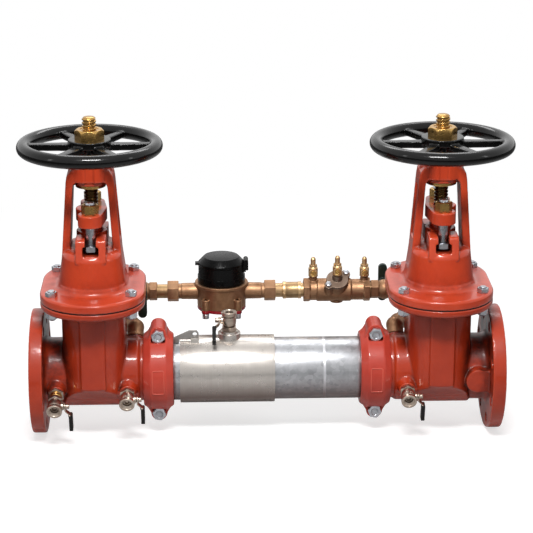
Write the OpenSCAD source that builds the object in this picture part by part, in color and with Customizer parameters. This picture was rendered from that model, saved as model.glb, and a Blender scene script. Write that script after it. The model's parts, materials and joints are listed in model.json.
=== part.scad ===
// Double check detector assembly for a 4 inch fire line: two outside-screw-and-yoke
// gate valves, a check housing under a sliding access sleeve, and a metered bypass.
// Frame: origin at the centre of the inlet flange face, +X along the flow, +Z up.

/* [Pipe line] */
// Outside diameter of the pipe and of the grooved ends
pipe_od = 114.3; // [113:0.1:116]
// Bore through the gate valves
line_bore = 102.3; // [98:0.1:104]
// Distance between the two flange faces
lay_length = 857; // [850:1:900]
// Length of one gate valve, flange face to grooved end
valve_length = 228.6; // [226:0.1:236]
// Gap between two grooved ends inside a coupling
pipe_gap = 3.2; // [2:0.1:4]
// Depth of the coupling grooves
groove_depth = 2.1; // [1.5:0.1:2.6]
// Width of the coupling grooves
groove_width = 8.7; // [8:0.1:9.5]
// Distance from a grooved end to its groove
groove_setback = 15.9; // [15:0.1:17]

/* [Line flanges] */
// Diameter of the line flanges
flange_od = 228.6; // [226:0.1:240]
// Thickness of the line flanges
flange_thick = 24; // [20:1:26]
// Bolt circle of the line flanges
flange_pcd = 190.5; // [186:0.1:195]
// Diameter of the flange bolt holes
flange_hole_d = 19; // [16:0.1:20]
// Number of flange bolt holes
flange_holes = 8; // [4:4:8]

/* [Gate valve body] */
// Diameter of the neck beside the gate chest
neck_d = 122; // [119:1:126]
// Radius of the oval chest's ends
chest_r = 57; // [55:1:58]
// Distance of the chest's end centres from the stem axis
chest_c = 32; // [28:1:34]
// Wall of the chest
chest_wall = 9; // [7:0.5:10]
// Depth of the chest's front corners below the pipe axis
chest_corner = 8; // [4:1:12]
// Height of the joint face above the pipe axis
joint_z = 151; // [148:1:158]
// Outside radius of the joint plates' ends
plate_r = 94; // [93:1:100]
// Distance of the joint plates' end centres from the stem axis
plate_c = 39; // [36:1:44]
// Edge thickness of the body's joint plate
body_plate_t = 13; // [11:1:16]
// Distance of a joint bolt from the sides of the joint plates
joint_bolt_side = 23.4; // [21:0.1:26]
// Distance of a joint bolt from the ends of the joint plates
joint_bolt_end = 57.3; // [55:0.1:61]
// Diameter of a joint bolt
joint_bolt_d = 12.7; // [10:0.1:14]
// Size across the flats of a joint bolt
joint_bolt_af = 19; // [18:1:22]
// Distance of the flange-side test cock from the flange
cock_flange_gap = 21.3; // [20:0.1:24]
// Distance of the groove-side test cock from the coupling
cock_groove_gap = 28.4; // [26:0.1:31]
// Radius of the test cock bosses
cock_boss_r = 15; // [13:1:16]
// Angle of the test cocks below the horizontal
cock_angle = 15; // [5:1:25]
// Distance of the bypass tap from the coupling
tap_gap = 16.6; // [16.4:0.1:17]
// Angle of the bypass tap behind the vertical
tap_angle = 48; // [46:1:50]

/* [Gate] */
// Radius of the wedge's disc
wedge_r = 57; // [56:0.5:58]
// Half thickness of the wedge at the pipe axis
wedge_t = 19; // [17:0.5:21]
// Slope of the wedge's faces in degrees
wedge_slope = 3; // [1:0.5:4]
// Outside radius of the seat rings
seat_ring_r = 61; // [60:0.5:62]

/* [Bonnet and yoke] */
// Thickness of the joint gasket
gasket_t = 1.5; // [1:0.1:2.5]
// Thickness of the bonnet plate
bonnet_plate_t = 16; // [14:1:18]
// Radius of the bell's ends
bell_r = 54; // [53:1:56]
// Radius of the bell's ends at the plate
bell_foot_r = 62; // [58:1:66]
// Distance of the bell's end centres from the stem axis
bell_c = 21; // [18:1:24]
// Wall of the bell
bell_wall = 8; // [6:0.5:9]
// Height of the bell's crown above the pipe axis
bell_z = 240; // [238:1:246]
// Height of the top of the stuffing box
box_z = 270; // [266:1:274]
// Outside radius of the stuffing box
box_r = 28; // [26:0.5:30]
// Bore radius of the stuffing box
box_bore_r = 20; // [19:0.1:20.5]
// Depth of the stuffing box
box_depth = 34; // [30:1:36]
// Distance of the gland bolts from the stem axis
gland_bolt_y = 45; // [44:0.5:48]
// Half width of a yoke leg's outer face at the bell
leg_foot_x = 52.5; // [51:0.5:53]
// Half width of a yoke leg's outer face at the yoke head
leg_top_x = 43; // [41:0.5:46]
// Thickness of a yoke leg at the bell
leg_foot_t = 14.5; // [11:0.5:15]
// Thickness of a yoke leg at the yoke head
leg_top_t = 12.5; // [10:0.5:13]
// Depth of the yoke across the pipe
yoke_depth = 58; // [50:1:62]
// Height of the underside of the yoke head
yoke_head_z = 364; // [360:1:370]
// Height of the yoke head
yoke_head_h = 38; // [34:1:42]
// Outside radius of the yoke head
yoke_head_r = 39; // [36:1:41]

/* [Gland] */
// Height of the follower's underside above the pipe axis
follower_z = 289; // [284:1:292]
// Thickness of the follower
follower_t = 22; // [16:1:24]
// Radius of the follower round the stem
follower_r = 28; // [26:0.5:30]
// Radius of the follower's eyes
follower_eye_r = 22; // [19:0.5:23]
// Diameter of the gland bolts
gland_bolt_d = 17.5; // [15:0.1:18]
// Size across the flats of the gland bolts and nuts
gland_af = 27; // [25:1:28]
// Height of a gland nut
gland_nut_h = 18; // [14:1:19]
// Number of packing rings in one stuffing box
packing_rings_n = 4; // [3:1:5]

/* [Stem and wheel] */
// Diameter of the stem
stem_d = 25.4; // [24:0.1:26]
// Height of the stem's end above the pipe axis, gate closed
stem_top_z = 477; // [470:1:490]
// Diameter of the handwheel
wheel_d = 260; // [240:1:280]
// Diameter of the handwheel's rim
rim_d = 24.5; // [20:0.5:26]
// Height of the rim's centre above the pipe axis
rim_z = 424; // [420:1:427]
// Diameter of the wheel's hub
hub_d = 76; // [70:1:82]
// Height of the hub's top above the pipe axis
hub_top_z = 437; // [434:1:440]
// Number of spokes
spokes = 6; // [5:1:6]
// Size across the flats of the wheel nut
wheel_nut_af = 46; // [42:1:50]
// Height of the wheel nut
wheel_nut_h = 18; // [14:1:20]

/* [Couplings] */
// Outside radius of a coupling
coupling_r = 75; // [73:0.5:77]
// Width of a coupling
coupling_w = 55; // [54:0.5:57]
// Distance of a coupling bolt from the pipe axis
coupling_bolt_z = 75; // [74.5:0.5:77]
// Diameter of a coupling bolt
coupling_bolt_d = 12.7; // [11:0.1:13]
// Reach of the ears from the pipe axis
ear_reach = 91; // [89:1:96]
// Thickness of an ear
ear_t = 26; // [25:1:28]

/* [Check housing] */
// Wall of the housing tube
tube_wall = 4; // [3.5:0.1:4.2]
// Length of the access window
window_length = 146; // [140:1:147]
// Width of the access window
window_width = 92; // [80:1:94]
// Distance of the sleeve's left end from the coupling
sleeve_start = 11.8; // [10.3:0.5:13.3]
// Length of the sleeve
sleeve_length = 173; // [171:0.5:176]
// Wall of the sleeve
sleeve_wall = 5; // [4.5:0.1:5.5]
// Radial running gap under the sleeve
sleeve_gap = 0.1; // [0.05:0.01:0.1]
// Place of the sleeve's test boss from the sleeve's left end
boss_dx = 90.5; // [60:0.5:110]
// Diameter of the sleeve's test boss
sleeve_boss_d = 41.5; // [38:0.5:46]
// Radius of a check seat's throat
throat_r = 34; // [30:0.5:35]
// Radius of a clapper
clapper_r = 38; // [37.5:0.1:38.2]
// Distance between the two checks
check_pitch = 106; // [104:1:108]

/* [Test cocks] */
// Length of a test cock's body
cock_length = 36; // [34:1:42]
// Radius of a test cock's barrel
cock_r = 12; // [11.6:0.1:13]
// Extra nipple under the first test cock
cock_extra = 18; // [0:1:22]
// Radius of a test cock's outlet thread
cock_outlet_r = 8.9; // [8:0.1:9.5]
// Reach of a test cock's lever
cock_lever_l = 50; // [44:1:56]

/* [Bypass] */
// Distance of the bypass behind the pipe axis
bypass_y = 150; // [146:1:156]
// Height of the bypass above the pipe axis
bypass_z = 101; // [99:1:104]
// Outside diameter of the bypass pipe
bypass_od = 26.7; // [25:0.1:27]
// Bore of the bypass pipe
bypass_bore = 20.8; // [18:0.1:21.5]
// Radius of the elbows
elbow_r = 15.6; // [15.4:0.1:15.8]
// Length of an isolation valve
iso_length = 54; // [53:0.5:54.5]
// Size across the flats of an isolation valve's ends
iso_af = 32; // [31:1:36]
// Reach of an isolation valve's stem from the bypass axis
iso_reach = 44; // [38:1:48]
// Length of an isolation valve's handle
iso_handle_l = 74; // [60:1:76]

/* [Meter] */
// Distance between the inlet isolation valve and the meter
meter_nipple = 26.75; // [22:0.25:32]
// Laying length of the meter
meter_length = 190.5; // [186:0.5:194]
// Diameter of the meter's bowl
bowl_d = 92; // [88:1:96]
// Diameter of the bowl's collar
collar_d = 101; // [98:1:106]
// Height of the collar's top above the bypass axis
collar_dz = 19; // [17:0.5:21]
// Depth of the bowl below the bypass axis
bowl_drop = 27; // [25:0.5:29]
// Diameter of the register's shroud
shroud_d = 87; // [82:1:90]
// Height of the shroud
shroud_h = 34; // [30:1:38]
// Height of the lid
lid_h = 16; // [13:1:20]
// Diameter of the lid's flat top
lid_top_d = 66; // [58:1:72]

/* [Small double check] */
// Distance between the meter and the small check
check_nipple = 60.75; // [57:0.25:66]
// Gap between the small check and the outlet isolation valve
small_gap = 1; // [0.5:0.5:4]
// Length of the small check
small_length = 127; // [125:0.5:127.5]
// Outside radius of the small check's barrel
small_r = 20; // [19:0.5:22]
// Tilt of the small check's cover towards the front
cover_tilt = 35; // [25:1:40]
// Height of a gauge cock
gauge_h = 39; // [36:1:44]
// Radius of a gauge cock
gauge_r = 9; // [8:0.5:10]

/* [Fits] */
// Clearance between parts that don't fit each other
clear = 0.3; // [0.2:0.05:0.4]
// Radial running fit of pins and shafts
fit = 0.05; // [0.02:0.01:0.1]

/* [Hidden] */
$fn = 48;

pipe_r = pipe_od / 2;
bore_r = line_bore / 2;
neck_r = neck_d / 2;
flange_r = flange_od / 2;
stem_x = valve_length / 2;
stem_r = stem_d / 2;
tube_bore_r = pipe_r - tube_wall;
tube_x0 = valve_length + pipe_gap;
tube_x1 = lay_length - valve_length - pipe_gap;
coupling_x = valve_length + pipe_gap / 2;
// Room from the stem axis to the coupling, where the tap and a test cock stand
groove_room = coupling_x - coupling_w / 2 - stem_x;
joint_bolt_x = plate_r - joint_bolt_side;
joint_bolt_y = plate_r + plate_c - joint_bolt_end;
cock_flange_x = stem_x - flange_thick - cock_flange_gap;
cock_groove_x = groove_room - cock_groove_gap;
tap_x = groove_room - tap_gap;
sleeve_x = coupling_x + coupling_w / 2 + sleeve_start;
// The bypass run is centred between the two flanges
run_length = 2 * iso_length + meter_nipple + meter_length + check_nipple + small_length + small_gap;
iso_x = (lay_length - run_length) / 2;
meter_x = iso_x + iso_length + meter_nipple + meter_length / 2;
small_x = meter_x + meter_length / 2 + check_nipple;
eps = 0.01;
inch = 25.4;

red = [0.72, 0.20, 0.12];
pink_red = [0.76, 0.30, 0.24];
black = [0.06, 0.06, 0.06];
brass = [0.78, 0.60, 0.28];
bronze = [0.60, 0.42, 0.28];
zinc = [0.72, 0.73, 0.75];
steel = [0.70, 0.69, 0.66];
nickel = [0.66, 0.64, 0.60];
rubber = [0.10, 0.10, 0.10];

// Oval outline with round ends towards front and back
module oval(r, c) {
    square([2 * r, 2 * c], center = true);
    for (s = [-1, 1]) translate([0, s * c]) circle(r);
}

// Solid with an oval plan whose half profile is the child, radius against height
module oval_solid(c) {
    for (s = [-1, 1]) translate([0, s * c, 0]) rotate_extrude() children();
    translate([0, c, 0]) rotate([90, 0, 0]) linear_extrude(2 * c) {
        children();
        mirror([1, 0]) children();
    }
}

// Hexagonal prism by its size across the flats
module hex_prism(af, h) cylinder(r = af / 2 / cos(30), h = h, $fn = 6);

// Turns +Z to the direction v
module along(v) rotate([0, acos(v[2] / norm(v)), atan2(v[1], v[0])]) children();

// Half outline of a ball, radius against height, with a corner on its equator
ball_steps = 12;
function half_disc(r) = [for (i = [0 : ball_steps])
    let (a = -90 + 180 * i / ball_steps) [r * cos(a), r * sin(a)]];
// Ball with a hole along its own axis
module ball(r, hole_r) difference() {
    rotate_extrude() polygon(half_disc(r));
    cylinder(r = hole_r, h = 4 * r, center = true);
}
// Hollow that a ball of radius r turns in
module ball_seat(r) rotate_extrude() polygon(half_disc(r / cos(90 / ball_steps)));

// Solid of revolution about the flow from a half profile, radius against length
module about_x() rotate([0, 90, 0]) rotate_extrude() children();

// The two gate valves stand mirrored, flanges outwards
module at_left() translate([stem_x, 0, 0]) children();
module at_right() translate([lay_length - stem_x, 0, 0]) mirror([1, 0, 0]) children();
module at_both() { at_left() children(); at_right() children(); }

// Four places of the joint bolts
module at_joint_bolts() {
    for (sx = [-1, 1], sy = [-1, 1])
        translate([sx * joint_bolt_x, sy * joint_bolt_y, 0]) children();
}

/* Gate valve body */
flange_fillet = 10;
tap_r = 18;
tap_top = neck_r + 3;
neck_stop = coupling_x - coupling_w / 2 - 6;
tap_stop = coupling_x - coupling_w / 2 - 0.5;
spot_r = joint_bolt_af / 2 + 2.5;
male_r = bypass_od / 2;
joint_hole_r = joint_bolt_d / 2 + 0.8;
body_plate_z = joint_z - body_plate_t;
plate_under = 8;
cock_boss_top = neck_r + 14;
cock_thread_r = 8.6;
chest_pad_w = 44;
chest_slant = 38.3;
chest_low_r = wedge_r + 8;
wedge_room = 1.5;
blank_r = 22.5;
blank_angle = 3;
boss_root = neck_r - 9;
boss_flare = 8;

module line_profile() {
    groove_z = valve_length - groove_setback - groove_width;
    difference() {
        union() {
            square([flange_r, flange_thick]);
            polygon([[0, 0], [neck_r, 0], [neck_r, neck_stop - neck_r + pipe_r],
                [pipe_r, neck_stop], [0, neck_stop]]);
            square([pipe_r, valve_length]);
            translate([0, flange_thick]) difference() {
                square([neck_r + flange_fillet, flange_fillet]);
                translate([neck_r + flange_fillet, flange_fillet]) circle(flange_fillet);
            }
        }
        translate([pipe_r - groove_depth, groove_z]) square([neck_r, groove_width]);
    }
}

// Side outline of the chest: a round bottom of radius r under a body of half width w
module chest_side(r, w, corner_z, top) {
    reach = w * sin(chest_slant) - corner_z * cos(chest_slant);
    foot = reach * [sin(chest_slant), -cos(chest_slant)];
    circle(r);
    polygon([[-w, top], [w, top], [w, corner_z], foot, [-foot[0], foot[1]], [-w, corner_z]]);
}
module chest(inset, low_r, top) {
    intersection() {
        translate([0, 0, -chest_r - chest_c]) linear_extrude(top + chest_r + chest_c)
            oval(chest_r - inset, chest_c);
        rotate([90, 0, 90]) linear_extrude(2 * chest_r + 2, center = true)
            chest_side(low_r, chest_c + chest_r - inset, inset / 2 - chest_corner, top + 1);
    }
}
// Hollow of the chest with the two seat rings left standing
module chest_hollow() difference() {
    chest(chest_wall, wedge_r + wedge_room, joint_z + 1);
    difference() {
        rotate([0, 90, 0]) cylinder(r = seat_ring_r, h = 2 * (chest_r - 4), center = true);
        wedge_prism(clear, seat_ring_r + 3);
    }
}

module body_plate_profile() polygon([[0, body_plate_z - plate_under],
    [chest_r + 10, body_plate_z - plate_under], [plate_r - 4, body_plate_z],
    [plate_r, body_plate_z + 3], [plate_r, joint_z], [0, joint_z]]);

// Tapered prism of the wedge's two faces, grown by a gap
module wedge_prism(gap, reach) {
    low = wedge_t + gap - reach * tan(wedge_slope);
    high = wedge_t + gap + reach * tan(wedge_slope);
    rotate([90, 0, 0]) linear_extrude(2 * (seat_ring_r + 2), center = true)
        polygon([[-low, -reach], [low, -reach], [high, reach], [-high, reach]]);
}

module cock_direction(a) rotate([90 + a, 0, 0]) children();
module tap_turn() rotate([-tap_angle, 0, 0]) children();

// Boss of the bypass tap, cut off short of the coupling
module tap_boss() intersection() {
    translate([tap_x, 0, 0]) tap_turn() cylinder(r = tap_r, h = tap_top);
    translate([tap_stop - stem_x - tap_top, 0, 0]) cube(2 * tap_top, center = true);
}

// Boss of a test cock, flared where it leaves the body
module cock_boss() cock_direction(cock_angle) {
    cylinder(r = cock_boss_r, h = cock_boss_top);
    translate([0, 0, boss_root - 12]) cylinder(r1 = cock_boss_r + boss_flare + 3,
        r2 = cock_boss_r + 0.5, h = cock_boss_top - boss_root + 6);
}
// Undrilled pad that runs out into the flange
module blank_boss() cock_direction(blank_angle) linear_extrude(cock_boss_top - 1) {
    circle(blank_r);
    translate([-blank_r, -blank_r]) square([blank_r, 2 * blank_r - 2]);
}

module valve_body(flange_boss_tapped) {
    cock_places = flange_boss_tapped ? [-cock_flange_x, cock_groove_x] : [cock_groove_x];
    difference() {
        union() {
            translate([-stem_x, 0, 0]) about_x() line_profile();
            chest(0, chest_low_r, joint_z);
            oval_solid(plate_c) body_plate_profile();
            translate([0, 0, (joint_z - chest_corner) / 2]) cube([chest_pad_w,
                2 * (chest_c + chest_r + 1), joint_z + chest_corner - 2], center = true);
            tap_boss();
            for (x = cock_places) translate([x, 0, 0]) cock_boss();
            if (!flange_boss_tapped) translate([-cock_flange_x, 0, 0]) blank_boss();
        }
        chest_hollow();
        rotate([0, 90, 0]) cylinder(r = bore_r, h = valve_length + 2, center = true);
        for (i = [0 : flange_holes - 1]) rotate([(i + 0.5) * 360 / flange_holes, 0, 0])
            translate([-stem_x - 1, 0, flange_pcd / 2]) rotate([0, 90, 0])
                cylinder(d = flange_hole_d, h = flange_thick + 2);
        at_joint_bolts() translate([0, 0, joint_z - 40]) cylinder(r = joint_hole_r, h = 50);
        at_joint_bolts() translate([0, 0, body_plate_z - 12]) cylinder(r = spot_r, h = 12);
        translate([tap_x, 0, 0]) tap_turn() cylinder(r = male_r + fit, h = tap_top + 1);
        for (x = cock_places) translate([x, 0, 0]) cock_direction(cock_angle)
            cylinder(r = cock_thread_r + fit, h = cock_boss_top + 1);
    }
}
module left_valve_body() color(red) at_left() valve_body(true);
module right_valve_body() color(red) at_right() valve_body(false);

/* Joint bolts and gaskets */
bonnet_z = joint_z + gasket_t;
plate_top = bonnet_z + bonnet_plate_t;
head_h = 8.5;
nut_h = 10.5;

module joint_bolt() {
    translate([0, 0, plate_top]) hex_prism(joint_bolt_af, head_h);
    translate([0, 0, body_plate_z - nut_h]) hex_prism(joint_bolt_af, nut_h);
    translate([0, 0, body_plate_z - nut_h - 4])
        cylinder(d = joint_bolt_d, h = plate_top - body_plate_z + nut_h + 5);
}
module bonnet_bolts() color(zinc) at_both() at_joint_bolts() joint_bolt();

module bonnet_gaskets() color(rubber) at_both() translate([0, 0, joint_z])
    difference() {
        linear_extrude(gasket_t) oval(plate_r - 1, plate_c);
        translate([0, 0, -1]) linear_extrude(gasket_t + 2) oval(chest_r - chest_wall, chest_c);
        at_joint_bolts() translate([0, 0, -1]) cylinder(r = joint_hole_r, h = gasket_t + 2);
    }

/* Bonnet with its yoke and stuffing box */
bell_round = 14;
bell_fillet = 10;
cavity_top = bell_z - 12;
box_floor = box_z - box_depth;
stem_hole_r = stem_r + 0.5;
ear_w = 54;
ear_top = box_z - 3;
head_slot_w = gland_af + 1;
head_top = 254;
head_room = 16;
bolt_head_h = 10.5;
slot_w = gland_bolt_d + 1.6;
ear_foot = gland_bolt_y + 27;
ear_out = gland_bolt_y + 19;
ear_bevel = 3;
boss_under_r = 33;
boss_under_z = yoke_head_z - 7;
nut_r = 22;
yoke_top = yoke_head_z + yoke_head_h;
leg_base_z = bell_z - bell_round - 6;
channel_depth = 3.5;
channel_w = 34;

// Half width of a leg's outer face at height z
function leg_x(z) = leg_foot_x + (leg_top_x - leg_foot_x) * (z - bell_z) / (yoke_head_z - bell_z);
// Half width of the window between the legs at height z
function win_x(z) = leg_x(z) - leg_foot_t
    - (leg_top_t - leg_foot_t) * (z - bell_z) / (yoke_head_z - bell_z);

module bell_profile() {
    foot = plate_top - 1;
    turn = bell_z - bell_round;
    polygon([[0, foot], [bell_foot_r, foot], [bell_r, turn], [0, turn]]);
    translate([0, foot]) square([bell_r - bell_round, bell_z - foot]);
    translate([bell_r - bell_round, turn]) circle(bell_round);
    translate([0, foot]) difference() {
        square([bell_foot_r + bell_fillet - 0.5, bell_fillet + 1]);
        translate([bell_foot_r + bell_fillet - 0.5, bell_fillet + 1]) circle(bell_fillet);
    }
}

module bonnet_plate_profile() polygon([[0, bonnet_z], [plate_r, bonnet_z],
    [plate_r, plate_top - 3], [plate_r - 3, plate_top], [0, plate_top]]);

module yoke_profile() {
    corner = 9;
    z0 = bell_z - 2;
    z1 = yoke_head_z;
    difference() {
        polygon([[-leg_x(leg_base_z), leg_base_z], [leg_x(leg_base_z), leg_base_z],
            [leg_x(z1), z1], [leg_x(z1) - 2, z1 + 12], [leg_x(z1) - 9, z1 + 22],
            [-leg_x(z1) + 9, z1 + 22], [-leg_x(z1) + 2, z1 + 12], [-leg_x(z1), z1]]);
        difference() {
            polygon([[-win_x(z0), z0], [win_x(z0), z0], [win_x(z1), z1], [-win_x(z1), z1]]);
            for (s = [-1, 1]) translate([s * win_x(z1), z1]) mirror([s > 0 ? 1 : 0, 0])
                translate([-1, -corner]) difference() {
                    square([corner + 1, corner + 1]);
                    translate([corner + 1, 0]) circle(corner);
                }
        }
    }
}

module leg_channels() {
    low = bell_z + 12;
    high = yoke_head_z - 14;
    for (s = [0, 1]) mirror([s, 0, 0]) rotate([90, 0, 0])
        linear_extrude(channel_w, center = true)
            polygon([[leg_x(low) - channel_depth, low], [leg_x(low) + 9, low],
                [leg_x(high) + 9, high], [leg_x(high) - channel_depth, high]]);
}

module gland_ears() {
    for (s = [0, 1]) mirror([0, s, 0]) rotate([90, 0, 90]) linear_extrude(ear_w, center = true)
        polygon([[box_r - 6, bell_z - bell_round], [ear_foot, bell_z - bell_round],
            [ear_out, ear_top - ear_bevel], [ear_out - ear_bevel, ear_top], [box_r - 6, ear_top]]);
}

module gland_slots() {
    for (s = [0, 1]) mirror([0, s, 0]) {
        translate([-slot_w / 2, gland_bolt_y - slot_w / 2, head_top])
            cube([slot_w, ear_foot, box_z]);
        translate([-head_slot_w / 2, gland_bolt_y - gland_af / 2 / cos(30) - clear,
            head_top - head_room]) cube([head_slot_w, ear_foot, head_room + clear]);
    }
}

module bonnet() {
    difference() {
        union() {
            oval_solid(plate_c) bonnet_plate_profile();
            oval_solid(bell_c) bell_profile();
            translate([0, 0, cavity_top + 2]) cylinder(r = box_r, h = box_z - cavity_top - 2);
            gland_ears();
            rotate([90, 0, 0]) linear_extrude(yoke_depth, center = true) yoke_profile();
            translate([0, 0, yoke_head_z]) cylinder(r = yoke_head_r, h = yoke_head_h);
            translate([0, 0, boss_under_z])
                cylinder(r = boss_under_r, h = yoke_head_z - boss_under_z + 1);
        }
        translate([0, 0, bonnet_z - 1]) linear_extrude(cavity_top - bonnet_z + 1)
            oval(bell_r - bell_wall, bell_c);
        translate([0, 0, box_floor]) cylinder(r = box_bore_r, h = box_depth + 1);
        translate([0, 0, cavity_top - 1]) cylinder(r = stem_hole_r, h = box_floor - cavity_top + 2);
        translate([0, 0, boss_under_z - 1])
            cylinder(r = nut_r + clear, h = yoke_top - boss_under_z + 2);
        gland_slots();
        leg_channels();
        at_joint_bolts() translate([0, 0, bonnet_z - 1])
            cylinder(r = joint_hole_r, h = bonnet_plate_t + 2);
        at_joint_bolts() translate([0, 0, plate_top]) cylinder(r = spot_r, h = head_h + 3);
    }
}
module left_bonnet() color(red) at_left() bonnet();
module right_bonnet() color(red) at_right() bonnet();

/* Gland */
nose_r = box_bore_r - clear;
packing_h = 6.2;
nose_z = box_floor + packing_h * packing_rings_n + 0.5;
gland_bolt_top = follower_z + follower_t + gland_nut_h + 5;

// Outline of a follower: a round middle drawn out to two smaller eyes
module follower_outline() {
    a = asin((follower_r - follower_eye_r) / gland_bolt_y);
    circle(follower_r);
    for (s = [-1, 1]) translate([0, s * gland_bolt_y]) circle(follower_eye_r);
    for (s = [0, 1]) mirror([0, s]) polygon([[-follower_r * cos(a), follower_r * sin(a)],
        [follower_r * cos(a), follower_r * sin(a)],
        [follower_eye_r * cos(a), gland_bolt_y + follower_eye_r * sin(a)],
        [-follower_eye_r * cos(a), gland_bolt_y + follower_eye_r * sin(a)], [0, 0]]);
}

module follower() {
    difference() {
        union() {
            translate([0, 0, follower_z]) linear_extrude(follower_t) follower_outline();
            translate([0, 0, nose_z]) cylinder(r = nose_r, h = follower_z - nose_z + 1);
        }
        translate([0, 0, nose_z - 1])
            cylinder(r = stem_hole_r, h = follower_z + follower_t - nose_z + 2);
        for (s = [-1, 1]) translate([0, s * gland_bolt_y, follower_z - 1])
            cylinder(d = gland_bolt_d + 1.2, h = follower_t + 2);
    }
}
module gland_followers() color(red) at_both() follower();

module gland_bolt() {
    translate([0, 0, head_top - bolt_head_h]) rotate([0, 0, 30]) hex_prism(gland_af, bolt_head_h);
    translate([0, 0, head_top - 1]) cylinder(d = gland_bolt_d, h = gland_bolt_top - head_top + 1);
}
module gland_nut() {
    difference() {
        translate([0, 0, follower_z + follower_t]) rotate([0, 0, 30]) hex_prism(gland_af, gland_nut_h);
        translate([0, 0, follower_z]) cylinder(r = gland_bolt_d / 2 + fit, h = 60);
    }
}
module at_gland_bolts() for (s = [-1, 1]) translate([0, s * gland_bolt_y, 0]) children();
module gland_bolts() color(zinc) at_both() at_gland_bolts() gland_bolt();
module gland_nuts() color(brass) at_both() at_gland_bolts() gland_nut();

module packing_rings() color(rubber) at_both()
    for (i = [0 : packing_rings_n - 1]) translate([0, 0, box_floor + i * packing_h])
        difference() {
            cylinder(r = box_bore_r - fit, h = packing_h - 0.1);
            translate([0, 0, -1]) cylinder(r = stem_r + fit, h = packing_h + 2);
        }

/* Stem and wedge */
tee_w = 36;
tee_h = 8;
tee_z = wedge_r + 3;
block_r = 23;
block_top = tee_z + tee_h + 8;
stem_chamfer = 3;

module stem() {
    translate([0, 0, tee_z + tee_h / 2]) cube([tee_w, tee_w, tee_h], center = true);
    translate([0, 0, tee_z]) cylinder(r = stem_r, h = stem_top_z - stem_chamfer - tee_z);
    translate([0, 0, stem_top_z - stem_chamfer])
        cylinder(r1 = stem_r, r2 = stem_r - stem_chamfer, h = stem_chamfer);
}
module left_stem() color(brass) at_left() stem();
module right_stem() color(brass) at_right() stem();

module wedge() {
    difference() {
        union() {
            intersection() {
                rotate([0, 90, 0]) cylinder(r = wedge_r, h = 2 * chest_r, center = true);
                wedge_prism(0, seat_ring_r + 3);
            }
            translate([0, 0, block_top / 2 + 10]) intersection() {
                cylinder(r = block_r, h = block_top - 20, center = true);
                cube([2 * block_r - 4, 2 * block_r, block_top], center = true);
            }
        }
        translate([0, 0, tee_z + tee_h / 2])
            cube([2 * block_r + 2, tee_w + 2 * clear, tee_h + 2 * clear], center = true);
        translate([-block_r - 1, -stem_hole_r, tee_z]) cube([2 * block_r + 2, 2 * stem_hole_r, tee_h * 3]);
    }
}
module left_wedge() color(rubber) at_left() wedge();
module right_wedge() color(rubber) at_right() wedge();

/* Stem nut, wheel nut and handwheel */
nut_flange_r = 27;
nut_flange_t = 5.7;
nut_shoulder_z = yoke_top + 2.5;
drive_af = 34;
hub_low_r = 27;
hub_disc_t = 13;
rim_mean_r = (wheel_d - rim_d) / 2;
spoke_w = 17;
spoke_t = 12;
wheel_nut_z = hub_top_z;

module stem_nut() {
    difference() {
        union() {
            translate([0, 0, boss_under_z - clear - nut_flange_t])
                cylinder(r = nut_flange_r, h = nut_flange_t);
            translate([0, 0, boss_under_z - clear - 1])
                cylinder(r = nut_r, h = nut_shoulder_z - boss_under_z + clear + 1);
            translate([0, 0, nut_shoulder_z - 1]) hex_prism(drive_af, hub_top_z - nut_shoulder_z);
            translate([0, 0, nut_shoulder_z - 1])
                cylinder(r = drive_af / 2 - 0.5, h = wheel_nut_z + wheel_nut_h - nut_shoulder_z);
        }
        translate([0, 0, yoke_head_z - 20])
            cylinder(r = stem_r + fit, h = stem_top_z - yoke_head_z + 20);
    }
    difference() {
        translate([0, 0, wheel_nut_z]) intersection() {
            hex_prism(wheel_nut_af, wheel_nut_h);
            cylinder(r1 = wheel_nut_af / 2 + wheel_nut_h, r2 = wheel_nut_af / 2 - 0.5,
                h = wheel_nut_h);
        }
        translate([0, 0, wheel_nut_z - 1])
            cylinder(r = drive_af / 2 - 0.5 + fit, h = wheel_nut_h + 2);
    }
}
module left_stem_nut() color(brass) at_left() stem_nut();
module right_stem_nut() color(brass) at_right() stem_nut();

module spoke() {
    hub_r = hub_d / 2;
    translate([0, 0, rim_z - spoke_t / 2 - 1]) linear_extrude(spoke_t)
        polygon([[hub_low_r - 4, -spoke_w / 2 - 2], [rim_mean_r, -spoke_w / 2 + 2.5],
            [rim_mean_r, spoke_w / 2 - 2.5], [hub_low_r - 4, spoke_w / 2 + 2]]);
}

module handwheel() {
    difference() {
        union() {
            translate([0, 0, rim_z]) rotate_extrude() translate([rim_mean_r, 0]) circle(d = rim_d);
            translate([0, 0, hub_top_z - hub_disc_t]) cylinder(d = hub_d, h = hub_disc_t);
            translate([0, 0, nut_shoulder_z + clear])
                cylinder(r = hub_low_r, h = hub_top_z - nut_shoulder_z - 1);
            for (i = [0 : spokes - 1]) rotate([0, 0, i * 360 / spokes]) spoke();
        }
        translate([0, 0, nut_shoulder_z - 1]) hex_prism(drive_af + 2 * fit, 60);
    }
}
module left_handwheel() color(black) at_left() handwheel();
module right_handwheel() color(black) at_right() handwheel();

/* Grooved couplings */
seal_r = 65.7;
seal_w = 30;
key_w = groove_width - 0.8;
key_x = pipe_gap / 2 + groove_setback + 0.4;
half_gap = 0.6;
ear_w_low = coupling_w - 1;
coupling_bevel = 9;
ear_r = 15;

module coupling_profile() {
    w = coupling_w / 2;
    difference() {
        polygon([[pipe_r + 0.6, -w], [coupling_r - coupling_bevel, -w],
            [coupling_r, -w + coupling_bevel + 4], [coupling_r, w - coupling_bevel - 4],
            [coupling_r - coupling_bevel, w], [pipe_r + 0.6, w]]);
        translate([0, -seal_w / 2]) square([seal_r, seal_w]);
    }
    for (s = [0, 1]) mirror([0, s]) translate([pipe_r - groove_depth + 0.4, key_x])
        square([groove_depth + 2, key_w]);
}

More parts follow.
